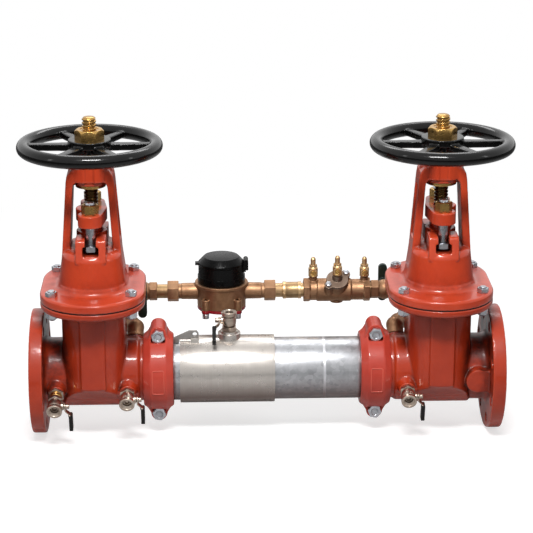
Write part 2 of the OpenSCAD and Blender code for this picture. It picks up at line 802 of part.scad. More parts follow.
module ear_outline() {
    polygon([[-ear_w_low / 2, pipe_r - 2], [ear_w_low / 2, pipe_r - 2],
        [ear_r, ear_reach - ear_r], [-ear_r, ear_reach - ear_r]]);
    translate([0, ear_reach - ear_r]) circle(ear_r);
}

module coupling_half() {
    difference() {
        union() {
            intersection() {
                about_x() coupling_profile();
                translate([0, half_gap + 100, 0]) cube([100, 200, 300], center = true);
            }
            difference() {
                for (s = [0, 1]) mirror([0, 0, s]) translate([0, half_gap + ear_t, 0])
                    rotate([90, 0, 0]) linear_extrude(ear_t) ear_outline();
                rotate([0, 90, 0]) cylinder(r = seal_r + 1, h = 100, center = true);
            }
        }
        for (s = [0, 1]) mirror([0, 0, s]) translate([0, 0, coupling_bolt_z]) {
            rotate([-90, 0, 0]) cylinder(r = coupling_bolt_d / 2 + 0.6, h = 100);
            translate([-nut_seat_r, half_gap + ear_t, -coupling_af / 2 - clear])
                cube([2 * nut_seat_r, 40, 40]);
        }
    }
}
coupling_nut_h = 12;
coupling_head_h = 9;
coupling_af = 22;
nut_seat_r = coupling_af / 2 / cos(30) + clear;

module coupling() { coupling_half(); mirror([0, 1, 0]) coupling_half(); }
module left_coupling() color(pink_red) translate([coupling_x, 0, 0]) coupling();
module right_coupling() color(pink_red) translate([lay_length - coupling_x, 0, 0]) coupling();

module at_couplings() for (x = [coupling_x, lay_length - coupling_x]) translate([x, 0, 0]) children();

module coupling_gaskets() color(rubber) at_couplings() about_x() difference() {
    translate([pipe_r + fit, -seal_w / 2 + 0.2]) square([seal_r - pipe_r - 2 * fit, seal_w - 0.4]);
    translate([pipe_r - 1, -seal_w / 2 + 8]) square([4, seal_w - 16]);
}

module coupling_bolts() color(zinc) at_couplings() for (s = [-1, 1])
    translate([0, 0, s * coupling_bolt_z]) {
        face = half_gap + ear_t;
        rotate([90, 0, 0]) cylinder(d = coupling_bolt_d, h = 2 * face + coupling_nut_h + 4,
            center = true);
        translate([0, -face, 0]) rotate([90, 0, 0]) hex_prism(coupling_af, coupling_nut_h);
        translate([0, face, 0]) rotate([-90, 0, 0]) cylinder(d = coupling_af, h = coupling_head_h);
    }

/* Check housing */
groove_r = pipe_r - groove_depth;
groove_inset = groove_setback;
window_x = sleeve_x + 12;
tube_length = tube_x1 - tube_x0;
sleeve_in_r = pipe_r + sleeve_gap;
sleeve_out_r = sleeve_in_r + sleeve_wall;
boss_x = sleeve_x + boss_dx;
boss_top = sleeve_out_r + 8.5;
bushing_top = boss_top + 4;
bushing_r = 16.5;
seal_inset = 4;
seal_d = 3;

module groove_cut(x) translate([x, 0, 0]) about_x() translate([groove_r, 0])
    square([groove_depth + 1, groove_width]);

module housing_tube() color(zinc) difference() {
    translate([tube_x0, 0, 0]) rotate([0, 90, 0]) cylinder(r = pipe_r, h = tube_length);
    translate([tube_x0 - 1, 0, 0]) rotate([0, 90, 0]) cylinder(r = tube_bore_r, h = tube_length + 2);
    groove_cut(tube_x0 + groove_inset);
    groove_cut(tube_x1 - groove_inset - groove_width);
    translate([window_x, -window_width / 2, pipe_r / 3])
        cube([window_length, window_width, pipe_r]);
}

plate_t = 3;
plate_y = -15;
lock_hole_d = 8;
lock_x = sleeve_x + 27.5;
module lock_plate() color(steel) {
    foot = sqrt(pow(pipe_r, 2) - pow(plate_y + plate_t / 2, 2)) + fit;
    over = sleeve_out_r + 1;
    x0 = coupling_x + coupling_w / 2 + clear;
    difference() {
        translate([0, plate_y + plate_t / 2, 0]) rotate([90, 0, 0]) linear_extrude(plate_t)
            difference() {
                union() {
                    polygon([[x0, foot + 11], [x0, foot],
                        [sleeve_x - 1.5, foot], [sleeve_x - 1.5, over], [lock_x + 7, over],
                        [lock_x + 7, over + 12], [lock_x + 3, over + 17],
                        [lock_x - 10, over + 17]]);
                }
                translate([lock_x, over + 9.5]) circle(d = lock_hole_d);
            }
    }
}

tab_l = 15;
tab_t = 5;
module access_sleeve() color(steel) difference() {
    union() {
        translate([sleeve_x, 0, 0]) rotate([0, 90, 0]) cylinder(r = sleeve_out_r, h = sleeve_length);
        translate([boss_x, 0, 0]) cylinder(d = sleeve_boss_d, h = boss_top);
        translate([boss_x, 0, 0]) cylinder(r = bushing_r, h = bushing_top);
        translate([lock_x - tab_l / 2, plate_y - plate_t / 2 - 1 - tab_t, sleeve_out_r - 8])
            cube([tab_l, tab_t, 12]);
    }
    translate([sleeve_x - 1, 0, 0]) rotate([0, 90, 0])
        cylinder(r = sleeve_in_r, h = sleeve_length + 2);
    for (x = [sleeve_x + seal_inset, sleeve_x + sleeve_length - seal_inset - seal_d - 0.4])
        translate([x, 0, 0]) about_x() translate([sleeve_in_r - 1, 0])
            square([seal_d + 1.1, seal_d + 0.4]);
    translate([boss_x, 0, 0]) cylinder(r = cock_thread_r + fit, h = bushing_top + 1);
}

module sleeve_seals() color(rubber)
    for (x = [sleeve_x + seal_inset, sleeve_x + sleeve_length - seal_inset - seal_d - 0.4])
        translate([x + seal_d / 2 + 0.2, 0, 0]) about_x()
            translate([sleeve_in_r + seal_d / 2, 0]) circle(d = seal_d);

/* Check modules inside the housing */
check_x = window_x + 5;
seat_t = 16;
nib_t = 1.5;
hinge_dx = seat_t + 8;
hinge_z = 46;
hinge_pin_r = 2.5;
barrel_r = 5;
barrel_w = 22;
clapper_t = 8;
lug_t = 5;

module check_seat() {
    difference() {
        rotate([0, 90, 0]) cylinder(r = tube_bore_r - fit, h = seat_t);
        translate([-1, 0, 0]) rotate([0, 90, 0]) cylinder(r = throat_r, h = seat_t + 2);
    }
    translate([seat_t - eps, 0, 0]) rotate([0, 90, 0]) difference() {
        cylinder(r = throat_r + 3, h = nib_t);
        translate([0, 0, -1]) cylinder(r = throat_r, h = nib_t + 2);
    }
    for (s = [-1, 1]) difference() {
        translate([seat_t - 1, s * (barrel_w / 2 + clear + lug_t / 2) - lug_t / 2, hinge_z - barrel_r])
            cube([hinge_dx - seat_t + 1 + barrel_r, lug_t, 2 * barrel_r - 0.6]);
        translate([hinge_dx, s * barrel_w, hinge_z]) rotate([90, 0, 0])
            cylinder(r = hinge_pin_r, h = 2 * barrel_w, center = true);
    }
}

module clapper() {
    face = seat_t + nib_t + 0.1;
    difference() {
        union() {
            translate([face, 0, 0]) rotate([0, 90, 0]) cylinder(r = clapper_r, h = clapper_t);
            translate([face, -9, 0]) cube([clapper_t, 18, hinge_z]);
            translate([face + clapper_t - 1, 0, 0]) rotate([0, 90, 0]) hex_prism(16, 7);
            translate([hinge_dx, barrel_w / 2, hinge_z]) rotate([90, 0, 0])
                cylinder(r = barrel_r, h = barrel_w);
        }
        translate([hinge_dx, 0, hinge_z]) rotate([90, 0, 0])
            cylinder(r = hinge_pin_r + fit, h = 2 * barrel_w, center = true);
    }
}

module check_modules() color(steel) for (i = [0, 1]) translate([check_x + i * check_pitch, 0, 0]) {
    check_seat();
    translate([hinge_dx, 0, hinge_z]) rotate([90, 0, 0])
        cylinder(r = hinge_pin_r, h = barrel_w + 2 * clear + 2 * lug_t, center = true);
}
module first_clapper() color(rubber) translate([check_x, 0, 0]) clapper();
module second_clapper() color(rubber) translate([check_x + check_pitch, 0, 0]) clapper();

/* Test cocks: local +Z points out of the boss, the stem towards local +X */
ball_z = 19;
ball_r = 7.6;
ball_bore_r = 4.2;
cock_stem_r = 4.5;
cock_stem_l = 24;
lever_t = 2.5;
lever_w = 10;
grip_l = 34;
grip_w = 13;
grip_t = 7;
cock_seat = 10;
lever_droop = 35;

module test_cock(extra) {
    difference() {
        union() {
            translate([0, 0, -cock_seat]) cylinder(r = cock_thread_r, h = cock_seat + extra + 2);
            translate([0, 0, extra]) hex_prism(22, 8);
            translate([0, 0, extra + 7]) cylinder(r = cock_r, h = cock_length - 16);
            translate([0, 0, extra + cock_length - 10]) cylinder(r = cock_r + 0.9, h = 10);
            translate([0, 0, extra + ball_z]) rotate([0, 90, 0]) cylinder(r = 6.5, h = cock_r + 4);
        }
        translate([0, 0, -cock_seat - 1]) cylinder(r = ball_bore_r, h = cock_length + extra + 20);
        translate([0, 0, extra + ball_z]) rotate([0, 90, 0]) ball_seat(ball_r + fit);
        translate([0, 0, extra + cock_length - 9]) cylinder(r = cock_outlet_r, h = 20);
        translate([0, 0, extra + ball_z]) rotate([0, 90, 0])
            cylinder(r = cock_stem_r + fit, h = cock_length);
    }
}

// Ball, stem and lever turn together; the lever points to local -Y when closed
module cock_lever(extra, droop = 0) {
    translate([0, 0, extra + ball_z]) {
        rotate([90, 0, 0]) ball(ball_r, ball_bore_r);
        translate([ball_bore_r + 0.9, 0, 0]) rotate([0, 90, 0])
            cylinder(r = cock_stem_r, h = cock_stem_l - ball_bore_r - 0.9);
        translate([cock_stem_l - 3, 0, 0]) rotate([0, 90, 0]) hex_prism(8, 5);
        translate([cock_r + 5, 0, 0]) rotate([droop, 0, 0]) {
            rotate([0, 90, 0]) cylinder(r = lever_w / 2 + 1, h = lever_t);
            translate([0, -cock_lever_l, -lever_w / 2]) cube([lever_t, cock_lever_l, lever_w]);
            translate([lever_t / 2 - grip_t / 2, -cock_lever_l - 1, -grip_w / 2])
                cube([grip_t, grip_l, grip_w]);
        }
    }
}

// Places of the four test cocks; the lever of each hangs at an angle of its own
module at_cock_1() at_left() translate([-cock_flange_x, 0, 0]) cock_direction(cock_angle)
    translate([0, 0, cock_boss_top]) children();
module at_cock_2() at_left() translate([cock_groove_x, 0, 0]) cock_direction(cock_angle)
    translate([0, 0, cock_boss_top]) children();
module at_cock_3() translate([boss_x, 0, bushing_top]) rotate([0, 0, 180]) children();
module at_cock_4() translate([lay_length - stem_x - cock_groove_x, 0, 0]) cock_direction(cock_angle)
    translate([0, 0, cock_boss_top]) children();

module test_cock_1() color(nickel) at_cock_1() test_cock(cock_extra);
module test_cock_2() color(nickel) at_cock_2() test_cock(0);
module test_cock_3() color(nickel) at_cock_3() test_cock(0);
module test_cock_4() color(nickel) at_cock_4() test_cock(0);
module cock_lever_1() color(nickel) at_cock_1() cock_lever(cock_extra);
module cock_lever_2() color(nickel) at_cock_2() cock_lever(0);
module cock_lever_3() color(nickel) at_cock_3() mirror([0, 1, 0]) cock_lever(0, lever_droop);
module cock_lever_4() color(nickel) at_cock_4() cock_lever(0);

/* Bypass fittings */
bypass_r = bypass_od / 2;
bypass_bore_r = bypass_bore / 2;
socket_depth = 11;
elbow_socket = 5;
elbow_leg = 22.5;
elbow_band = 4.5;
elbow_ball = elbow_r + 0.7;
band_r = elbow_r + 0.7;
tap_reach = tap_top + 1 + elbow_leg;
corner_x = iso_x - elbow_leg - 0.5;
tap_point = [stem_x + tap_x, tap_reach * sin(tap_angle), tap_reach * cos(tap_angle)];
low_point = [corner_x, bypass_y, tap_point[2]];
run_point = [corner_x, bypass_y, bypass_z];

// Unit vector of v
function unit(v) = v / norm(v);

module leg(v) along(v) {
    cylinder(r = elbow_r, h = elbow_leg);
    translate([0, 0, elbow_leg - elbow_band]) cylinder(r = band_r, h = elbow_band);
}
module leg_bore(v) along(v) {
    cylinder(r = bypass_bore_r, h = elbow_leg + 1);
    translate([0, 0, elbow_leg - elbow_socket]) cylinder(r = bypass_r + fit, h = elbow_socket + 1);
}

// Elbow at a point with female legs towards u and v
module elbow(point, u, v) translate(point) difference() {
    union() {
        sphere(r = elbow_ball);
        leg(u);
        leg(v);
    }
    sphere(r = bypass_bore_r + 1);
    leg_bore(u);
    leg_bore(v);
}

// Street elbow: a male leg of a given reach towards u, a female leg towards v
module street_elbow(point, u, v, reach) translate(point) difference() {
    union() {
        sphere(r = elbow_ball);
        along(u) cylinder(r = bypass_r, h = reach);
        leg(v);
    }
    sphere(r = bypass_bore_r + 1);
    along(u) cylinder(r = bypass_bore_r, h = reach + 1);
    leg_bore(v);
}

module pipe_piece(from, to) {
    v = to - from;
    translate(from) along(v) difference() {
        cylinder(r = bypass_r, h = norm(v));
        translate([0, 0, -1]) cylinder(r = bypass_bore_r, h = norm(v) + 2);
    }
}

// Tap nipple, elbow, cross pipe, two stacked elbows and the nipple of the run
module tap_run() {
    out = unit(tap_point - [tap_point[0], 0, 0]);
    back = unit(low_point - tap_point);
    start = elbow_leg - elbow_socket + 0.2;
    elbow(tap_point, -out, back);
    elbow(low_point, -back, [0, 0, 1]);
    street_elbow(run_point, [0, 0, -1], [1, 0, 0], run_point[2] - low_point[2] - start);
    pipe_piece([tap_point[0], 0, 0] + out * (neck_r - 8), tap_point - out * start);
    pipe_piece(tap_point + back * start, low_point - back * start);
    pipe_piece(run_point + [start, 0, 0], [iso_x + socket_depth - 0.2, bypass_y, bypass_z]);
}
module mirror_line() translate([lay_length, 0, 0]) mirror([1, 0, 0]) children();
module inlet_elbows() color(bronze) tap_run();
module outlet_elbows() color(bronze) mirror_line() tap_run();

/* Isolation ball valves: local origin at the middle, axis along X, stem towards -Y */
iso_end_l = 15;
iso_body_r = 19;
iso_ball_r = 14.5;
iso_boss_r = 8.5;
iso_stem_r = 4.5;
iso_mid = iso_x + iso_length / 2;

module isolation_valve() {
    difference() {
        union() {
            for (s = [0, 1]) mirror([s, 0, 0]) translate([iso_length / 2 - iso_end_l, 0, 0])
                rotate([0, 90, 0]) hex_prism(iso_af, iso_end_l);
            about_x() {
                polygon(half_disc(iso_body_r));
                translate([0, 1 - iso_length / 2]) square([iso_af / 2 - 1, iso_length - 2]);
            }
            rotate([90, 0, 0]) cylinder(r = iso_boss_r, h = iso_reach - 14);
        }
        rotate([0, 90, 0]) cylinder(r = bypass_bore_r - 2, h = iso_length + 2, center = true);
        for (s = [0, 1]) mirror([s, 0, 0]) translate([iso_length / 2 - socket_depth, 0, 0])
            rotate([0, 90, 0]) cylinder(r = bypass_r + fit, h = socket_depth + 1);
        rotate([90, 0, 0]) ball_seat(iso_ball_r + fit);
        rotate([90, 0, 0]) cylinder(r = iso_stem_r + fit, h = 60);
    }
}

handle_hub_r = 9;
handle_w = 17;
handle_t = 9;
module isolation_handle() {
    ball(iso_ball_r, bypass_bore_r - 2);
    rotate([90, 0, 0]) translate([0, 0, iso_ball_r - 3])
        cylinder(r = iso_stem_r, h = iso_reach - iso_ball_r + 2.5);
    translate([0, -iso_reach + 14 - clear, 0]) rotate([90, 0, 0]) cylinder(r = handle_hub_r, h = 10);
    translate([0, -iso_reach, 0]) rotate([90, 0, 0]) linear_extrude(handle_t, center = true) {
        square([handle_w, iso_handle_l - handle_w], center = true);
        for (s = [-1, 1]) translate([0, s * (iso_handle_l - handle_w) / 2]) circle(d = handle_w);
    }
}
module at_inlet_iso() translate([iso_mid, bypass_y, bypass_z]) children();
module at_outlet_iso() translate([lay_length - iso_mid, bypass_y, bypass_z]) rotate([0, 0, 180]) children();
module inlet_isolation_valve() color(bronze) at_inlet_iso() isolation_valve();
module outlet_isolation_valve() color(bronze) at_outlet_iso() isolation_valve();
module inlet_isolation_handle() color(black) at_inlet_iso() isolation_handle();
module outlet_isolation_handle() color(black) at_outlet_iso() isolation_handle();

/* Unions, nipples and couplings of the run */
union_af = 36;
union_nut_l = 21;
spud_r = 14.6;
tail_flange_r = 14.6;
tail_flange_t = 3;
nut_lip = 4;
spud_engage = 14;
meter_x0 = meter_x - meter_length / 2;
meter_x1 = meter_x + meter_length / 2;
iso_out = iso_x + iso_length;
run_coupling_l = 35;
run_coupling_x = small_x - run_coupling_l - 4.5;

module at_run(x) translate([x, bypass_y, bypass_z]) children();

// Union nut, its mouth towards +X over the meter's spud
module union_nut() rotate([0, 90, 0]) difference() {
    hex_prism(union_af, union_nut_l);
    translate([0, 0, -1]) cylinder(r = bypass_r + 0.4, h = union_nut_l + 2);
    translate([0, 0, nut_lip]) cylinder(r = spud_r + fit, h = union_nut_l);
}
union_x0 = meter_x0 - nut_lip - tail_flange_t - 0.2;
union_x1 = meter_x1 + nut_lip + tail_flange_t + 0.2;
module union_nuts() color(bronze) {
    at_run(union_x0) union_nut();
    at_run(union_x1) mirror([1, 0, 0]) union_nut();
}

module x_pipe(x0, x1, r) at_run(x0) rotate([0, 90, 0]) difference() {
    cylinder(r = r, h = x1 - x0);
    translate([0, 0, -1]) cylinder(r = bypass_bore_r, h = x1 - x0 + 2);
}

module bypass_nipples() color(bronze) {
    gap = 0.2;
    x_pipe(iso_out - socket_depth + gap, meter_x0 - tail_flange_t - gap + 0.1, bypass_r);
    x_pipe(meter_x0 - tail_flange_t - 0.1, meter_x0 - 0.1, tail_flange_r);
    x_pipe(meter_x1 + 0.1, meter_x1 + tail_flange_t + 0.1, tail_flange_r);
    x_pipe(meter_x1 + tail_flange_t, run_coupling_x + 12, bypass_r);
    difference() {
        at_run(run_coupling_x) rotate([0, 90, 0]) {
            cylinder(r = elbow_r, h = run_coupling_l);
            for (z = [0, run_coupling_l - 6]) translate([0, 0, z]) cylinder(r = band_r, h = 6);
        }
        at_run(run_coupling_x - 1) rotate([0, 90, 0])
            cylinder(r = bypass_r + fit, h = run_coupling_l + 2);
    }
    x_pipe(run_coupling_x + 14, small_x + socket_depth - gap, bypass_r);
    x_pipe(small_x + small_length - socket_depth + gap,
        lay_length - iso_out + socket_depth - gap, bypass_r);
}

/* Water meter, local origin at its centre on the bypass axis */
bowl_r = bowl_d / 2;
collar_r = collar_d / 2;
collar_t = 6;
lug_r = 8;
lug_hole_r = 3.6;
lug_low = 6;
lug_pcd_r = bowl_r + 1;
base_t = 6;
base_bolt_h = 10;
chamber_r = bowl_r - 8;
lug_angles = [50, 130, 230, 310];
module at_meter() at_run(meter_x) children();
module at_meter_lugs() for (a = lug_angles) rotate([0, 0, a]) translate([lug_pcd_r, 0, 0]) children();

// Bowl outline with its four bolt lugs, drilled
module lug_outline() difference() {
    union() {
        circle(bowl_r);
        at_meter_lugs() circle(lug_r);
    }
    at_meter_lugs() circle(lug_hole_r);
}

module meter_cone() rotate([0, 90, 0]) {
    cylinder(r1 = collar_dz - 2.5, r2 = spud_r + 0.9, h = meter_length / 2 - 20);
    cylinder(r = spud_r, h = meter_length / 2);
}

module meter_body() color(bronze) at_meter() difference() {
    union() {
        translate([0, 0, -lug_low]) cylinder(r = bowl_r, h = lug_low + collar_dz - 1);
        translate([0, 0, -bowl_drop]) linear_extrude(bowl_drop - lug_low) lug_outline();
        translate([0, 0, collar_dz - collar_t]) cylinder(r = collar_r, h = collar_t);
        for (s = [0, 1]) mirror([s, 0, 0]) meter_cone();
    }
    rotate([0, 90, 0]) cylinder(r = bypass_bore_r, h = meter_length + 2, center = true);
    translate([0, 0, -bowl_drop - 1]) cylinder(r = chamber_r, h = bowl_drop + collar_dz - 5);
}

module meter_base_plate() color([0.55, 0.06, 0.07]) at_meter()
    translate([0, 0, -bowl_drop - base_t]) linear_extrude(base_t) lug_outline();

module base_bolt() {
    translate([0, 0, -bowl_drop - base_t - base_bolt_h]) cylinder(r = 6.5, h = base_bolt_h);
    translate([0, 0, -bowl_drop - base_t - 1]) cylinder(r = lug_hole_r - 0.2, h = base_t + 14);
}

/* Register, shroud and lid */
reg_r = 36;
glass_z = collar_dz + shroud_h - 8;
hand_z = glass_z;
shroud_r = shroud_d / 2;
shroud_top = collar_dz + shroud_h;
hinge_x = shroud_r + 3;
lid_hinge_z = shroud_top + 7;
lid_pin_r = 2;
knuckle_r = 4.5;
lid_z = shroud_top + 0.4;

module meter_register() color([0.85, 0.85, 0.82]) at_meter() difference() {
    translate([0, 0, collar_dz]) cylinder(r = reg_r, h = glass_z - collar_dz);
    translate([0, 0, glass_z - 6]) cylinder(r = 2 + fit, h = 7);
}

module register_hand() color([0.7, 0.05, 0.05]) at_meter() {
    translate([0, 0, glass_z - 5]) cylinder(r = 2, h = 6.5);
    translate([0, 0, glass_z + 0.5]) linear_extrude(1) polygon([[-1.6, -8], [1.6, -8], [0.6, 27],
        [-0.6, 27]]);
}

module meter_shroud() color(black) at_meter() difference() {
    union() {
        translate([0, 0, collar_dz]) cylinder(r = shroud_r, h = shroud_h);
        translate([0, 0, collar_dz]) cylinder(r = shroud_r + 1.5, h = 14);
        for (s = [-1, 1]) translate([shroud_r - 5, s * 10 - 3, shroud_top - 12])
            cube([8, 6, 12]);
        for (s = [-1, 1]) translate([hinge_x, s * 10 + 3, lid_hinge_z]) rotate([90, 0, 0])
            cylinder(r = knuckle_r, h = 6);
        for (s = [-1, 1]) translate([hinge_x - knuckle_r, s * 10 - 3, shroud_top - 9])
            cube([2 * knuckle_r, 6, 16]);
    }
    translate([0, 0, collar_dz - 1]) cylinder(r = reg_r + 0.4, h = shroud_h + 2);
    translate([hinge_x, 0, lid_hinge_z]) rotate([90, 0, 0])
        cylinder(r = lid_pin_r + fit, h = 60, center = true);
}

module lid_profile() polygon([[0, lid_z], [shroud_r, lid_z], [shroud_r, lid_z + 5],
    [lid_top_d / 2, lid_z + lid_h], [0, lid_z + lid_h]]);
module lid_hollow() polygon([[0, lid_z - 1], [shroud_r - 3, lid_z - 1], [shroud_r - 3, lid_z + 4],
    [lid_top_d / 2 - 2, lid_z + lid_h - 3], [0, lid_z + lid_h - 3]]);

module meter_lid() color(black) at_meter() {
    difference() {
        union() {
            difference() {
                rotate_extrude() lid_profile();
                rotate_extrude() lid_hollow();
                for (s = [-1, 1]) translate([shroud_r - 4, s * 10 - 3.4, lid_z - 1])
                    cube([20, 6.8, lid_h + 4]);
            }
            translate([shroud_r - 6, -6.6, lid_z]) cube([10, 13.2, 6]);
            translate([hinge_x, 6.6, lid_hinge_z]) rotate([90, 0, 0])
                cylinder(r = knuckle_r, h = 13.2);
            translate([-shroud_r - 6, -7, lid_z]) cube([10, 14, 4]);
        }
        translate([hinge_x, 0, lid_hinge_z]) rotate([90, 0, 0])
            cylinder(r = lid_pin_r - fit, h = 12, center = true);
    }
    translate([hinge_x, 0, lid_hinge_z]) rotate([90, 0, 0])
        cylinder(r = lid_pin_r, h = 26, center = true);
}

/* Small double check, local origin at its left end on the bypass axis */
small_bore_r = 12.5;
small_seat_r = 7.5;
poppet_x = [26, small_length - 49];
chamber_l = 34;
cock_mount_x = [18.5, small_length / 2, small_length - 11];
cover_x = cock_mount_x[1];
cover_r = 21;
cover_t = 6;
cover_c = 6;
cover_bolt_c = 20.5;
neck_top = 27;
gauge_base = 25.5;
gauge_boss_r = 8;
module at_small() at_run(small_x) children();
module cover_frame() translate([cover_x, 0, 0]) rotate([cover_tilt, 0, 0]) children();

module small_profile() {
    translate([0, 2]) square([small_r, small_length - 4]);
    translate([0, poppet_x[0]]) square([small_r + 2, small_length - poppet_x[0] - 37]);
    square([small_r - 3, small_length]);
}

module cover_outline(grow) {
    circle(cover_r + grow);
    for (s = [-1, 1]) translate([s * cover_bolt_c * 0.78, s * cover_bolt_c * 0.62])
        circle(9 + grow);
}
module at_cover_bolts() for (s = [-1, 1])
    translate([s * cover_bolt_c * 0.84, s * cover_bolt_c * 0.68, 0]) children();

module small_check_body() color(bronze) at_small() difference() {
    union() {
        about_x() small_profile();
        for (x = [0, small_length - 12]) translate([x, 0, 0]) rotate([0, 90, 0])
            hex_prism(2 * small_r + 1, 12);
        for (x = [cock_mount_x[0], cock_mount_x[2]]) translate([x, 0, 0])
            cylinder(r = gauge_boss_r, h = gauge_base);
        cover_frame() linear_extrude(neck_top) cover_outline(-1);
        translate([cover_x, 0, -small_r - 4]) cylinder(r = 12, h = 20);
    }
    rotate([0, 90, 0]) cylinder(r = small_seat_r, h = small_length);
    for (x = poppet_x) translate([x - 0.1, 0, 0]) rotate([0, 90, 0])
        cylinder(r = small_bore_r, h = chamber_l);
    for (x = [-1, small_length - socket_depth]) translate([x, 0, 0]) rotate([0, 90, 0])
        cylinder(r = bypass_r + fit, h = socket_depth + 1);
    for (x = [cock_mount_x[0], cock_mount_x[2]]) translate([x, 0, 0])
        cylinder(r = 5 + fit, h = gauge_base + 1);
    cover_frame() cylinder(r = small_bore_r, h = neck_top + 1);
    cover_frame() at_cover_bolts() translate([0, 0, neck_top - 12]) cylinder(r = 3.1, h = 20);
}

cover_boss_r = 9;
module small_check_cover() color(bronze) at_small() difference() {
    union() {
        cover_frame() translate([0, 0, neck_top]) linear_extrude(cover_t) cover_outline(0);
        intersection() {
            translate([cover_x, -cover_shift, 0]) cylinder(r = cover_boss_r, h = cover_boss_z);
            cover_frame() translate([0, 0, neck_top + 50 + 1]) cube(100, center = true);
        }
    }
    translate([cover_x, -cover_shift, cover_boss_z - 10]) cylinder(r = 5 + fit, h = 20);
    cover_frame() at_cover_bolts() translate([0, 0, neck_top - 1]) cylinder(r = 3.1, h = cover_t + 2);
}
cover_shift = 17;
cover_boss_z = 33;

module cover_bolt() {
    translate([0, 0, neck_top + cover_t]) hex_prism(10, 5);
    translate([0, 0, neck_top - 10]) cylinder(r = 2.9, h = cover_t + 11);
}
module bypass_bolts() color(zinc) {
    at_meter() at_meter_lugs() base_bolt();
    at_small() cover_frame() at_cover_bolts() cover_bolt();
}

poppet_r = 9.5;
module poppet() {
    rotate([0, 90, 0]) cylinder(r = poppet_r, h = 4);
    rotate([0, 90, 0]) cylinder(r = 3, h = 20);
}
module small_check_poppets() color(rubber) at_small() for (x = poppet_x) translate([x, 0, 0]) poppet();

// Gauge cock: body with a screwed plug in front and a flare tip on top
screw_z = 11;
module gauge_cock() difference() {
    union() {
        translate([0, 0, -7]) cylinder(r = 5, h = 8);
        cylinder(r = 5.5, h = 4);
        translate([0, 0, 2]) cylinder(r = gauge_r, h = 16);
        translate([0, 0, 18]) cylinder(r1 = gauge_r, r2 = 6.5, h = 3);
        translate([0, 0, 17]) hex_prism(13, 8);
        translate([0, 0, 24]) cylinder(r = 4.8, h = gauge_h - 27);
        translate([0, 0, gauge_h - 3]) cylinder(r1 = 4.8, r2 = 3, h = 3);
        translate([0, 0, screw_z]) rotate([90, 0, 0]) cylinder(r = 7.5, h = gauge_r + 4);
    }
    translate([0, 0, screw_z + 1]) cylinder(r = 2, h = gauge_h);
    translate([0, 0, screw_z]) rotate([90, 0, 0]) cylinder(r = 5.5 + fit, h = 40);
}
module gauge_screw() difference() {
    translate([0, 0, screw_z]) rotate([90, 0, 0]) cylinder(r = 5.5, h = gauge_r + 6);
    translate([0, -gauge_r - 6, screw_z]) cube([20, 3, 1.6], center = true);
}
module at_gauge(i) at_small() translate([cock_mount_x[i], i == 1 ? -cover_shift : 0,
    i == 1 ? cover_boss_z : gauge_base]) children();
module gauge_cocks() color(brass) for (i = [0 : 2]) at_gauge(i) gauge_cock();
module gauge_screw_1() color(brass) at_gauge(0) gauge_screw();
module gauge_screw_2() color(brass) at_gauge(1) gauge_screw();
module gauge_screw_3() color(brass) at_gauge(2) gauge_screw();

left_valve_body();
right_valve_body();
left_bonnet();
right_bonnet();
gland_followers();
left_stem();
right_stem();
left_wedge();
right_wedge();
left_stem_nut();
right_stem_nut();
left_handwheel();
right_handwheel();
bonnet_bolts();
bonnet_gaskets();
gland_bolts();
gland_nuts();
packing_rings();
left_coupling();
right_coupling();
coupling_gaskets();
coupling_bolts();
housing_tube();
lock_plate();
access_sleeve();
sleeve_seals();
check_modules();
first_clapper();
second_clapper();
test_cock_1();
test_cock_2();
test_cock_3();
test_cock_4();
cock_lever_1();
cock_lever_2();
cock_lever_3();
cock_lever_4();
inlet_elbows();
outlet_elbows();
inlet_isolation_valve();
outlet_isolation_valve();
inlet_isolation_handle();
outlet_isolation_handle();
union_nuts();
bypass_nipples();
meter_body();
meter_base_plate();
bypass_bolts();
meter_register();
register_hand();
meter_shroud();
meter_lid();
small_check_body();
small_check_cover();
small_check_poppets();
gauge_cocks();
gauge_screw_1();
gauge_screw_2();
gauge_screw_3();
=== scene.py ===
"""Dressed model of a backflow detector assembly: two gate valves, a check housing and a metered bypass."""
import json
import logging
import math
from collections.abc import Iterable, Sequence
from dataclasses import dataclass, field
from enum import Enum

import bmesh
import bpy
from mathutils import Matrix, Vector

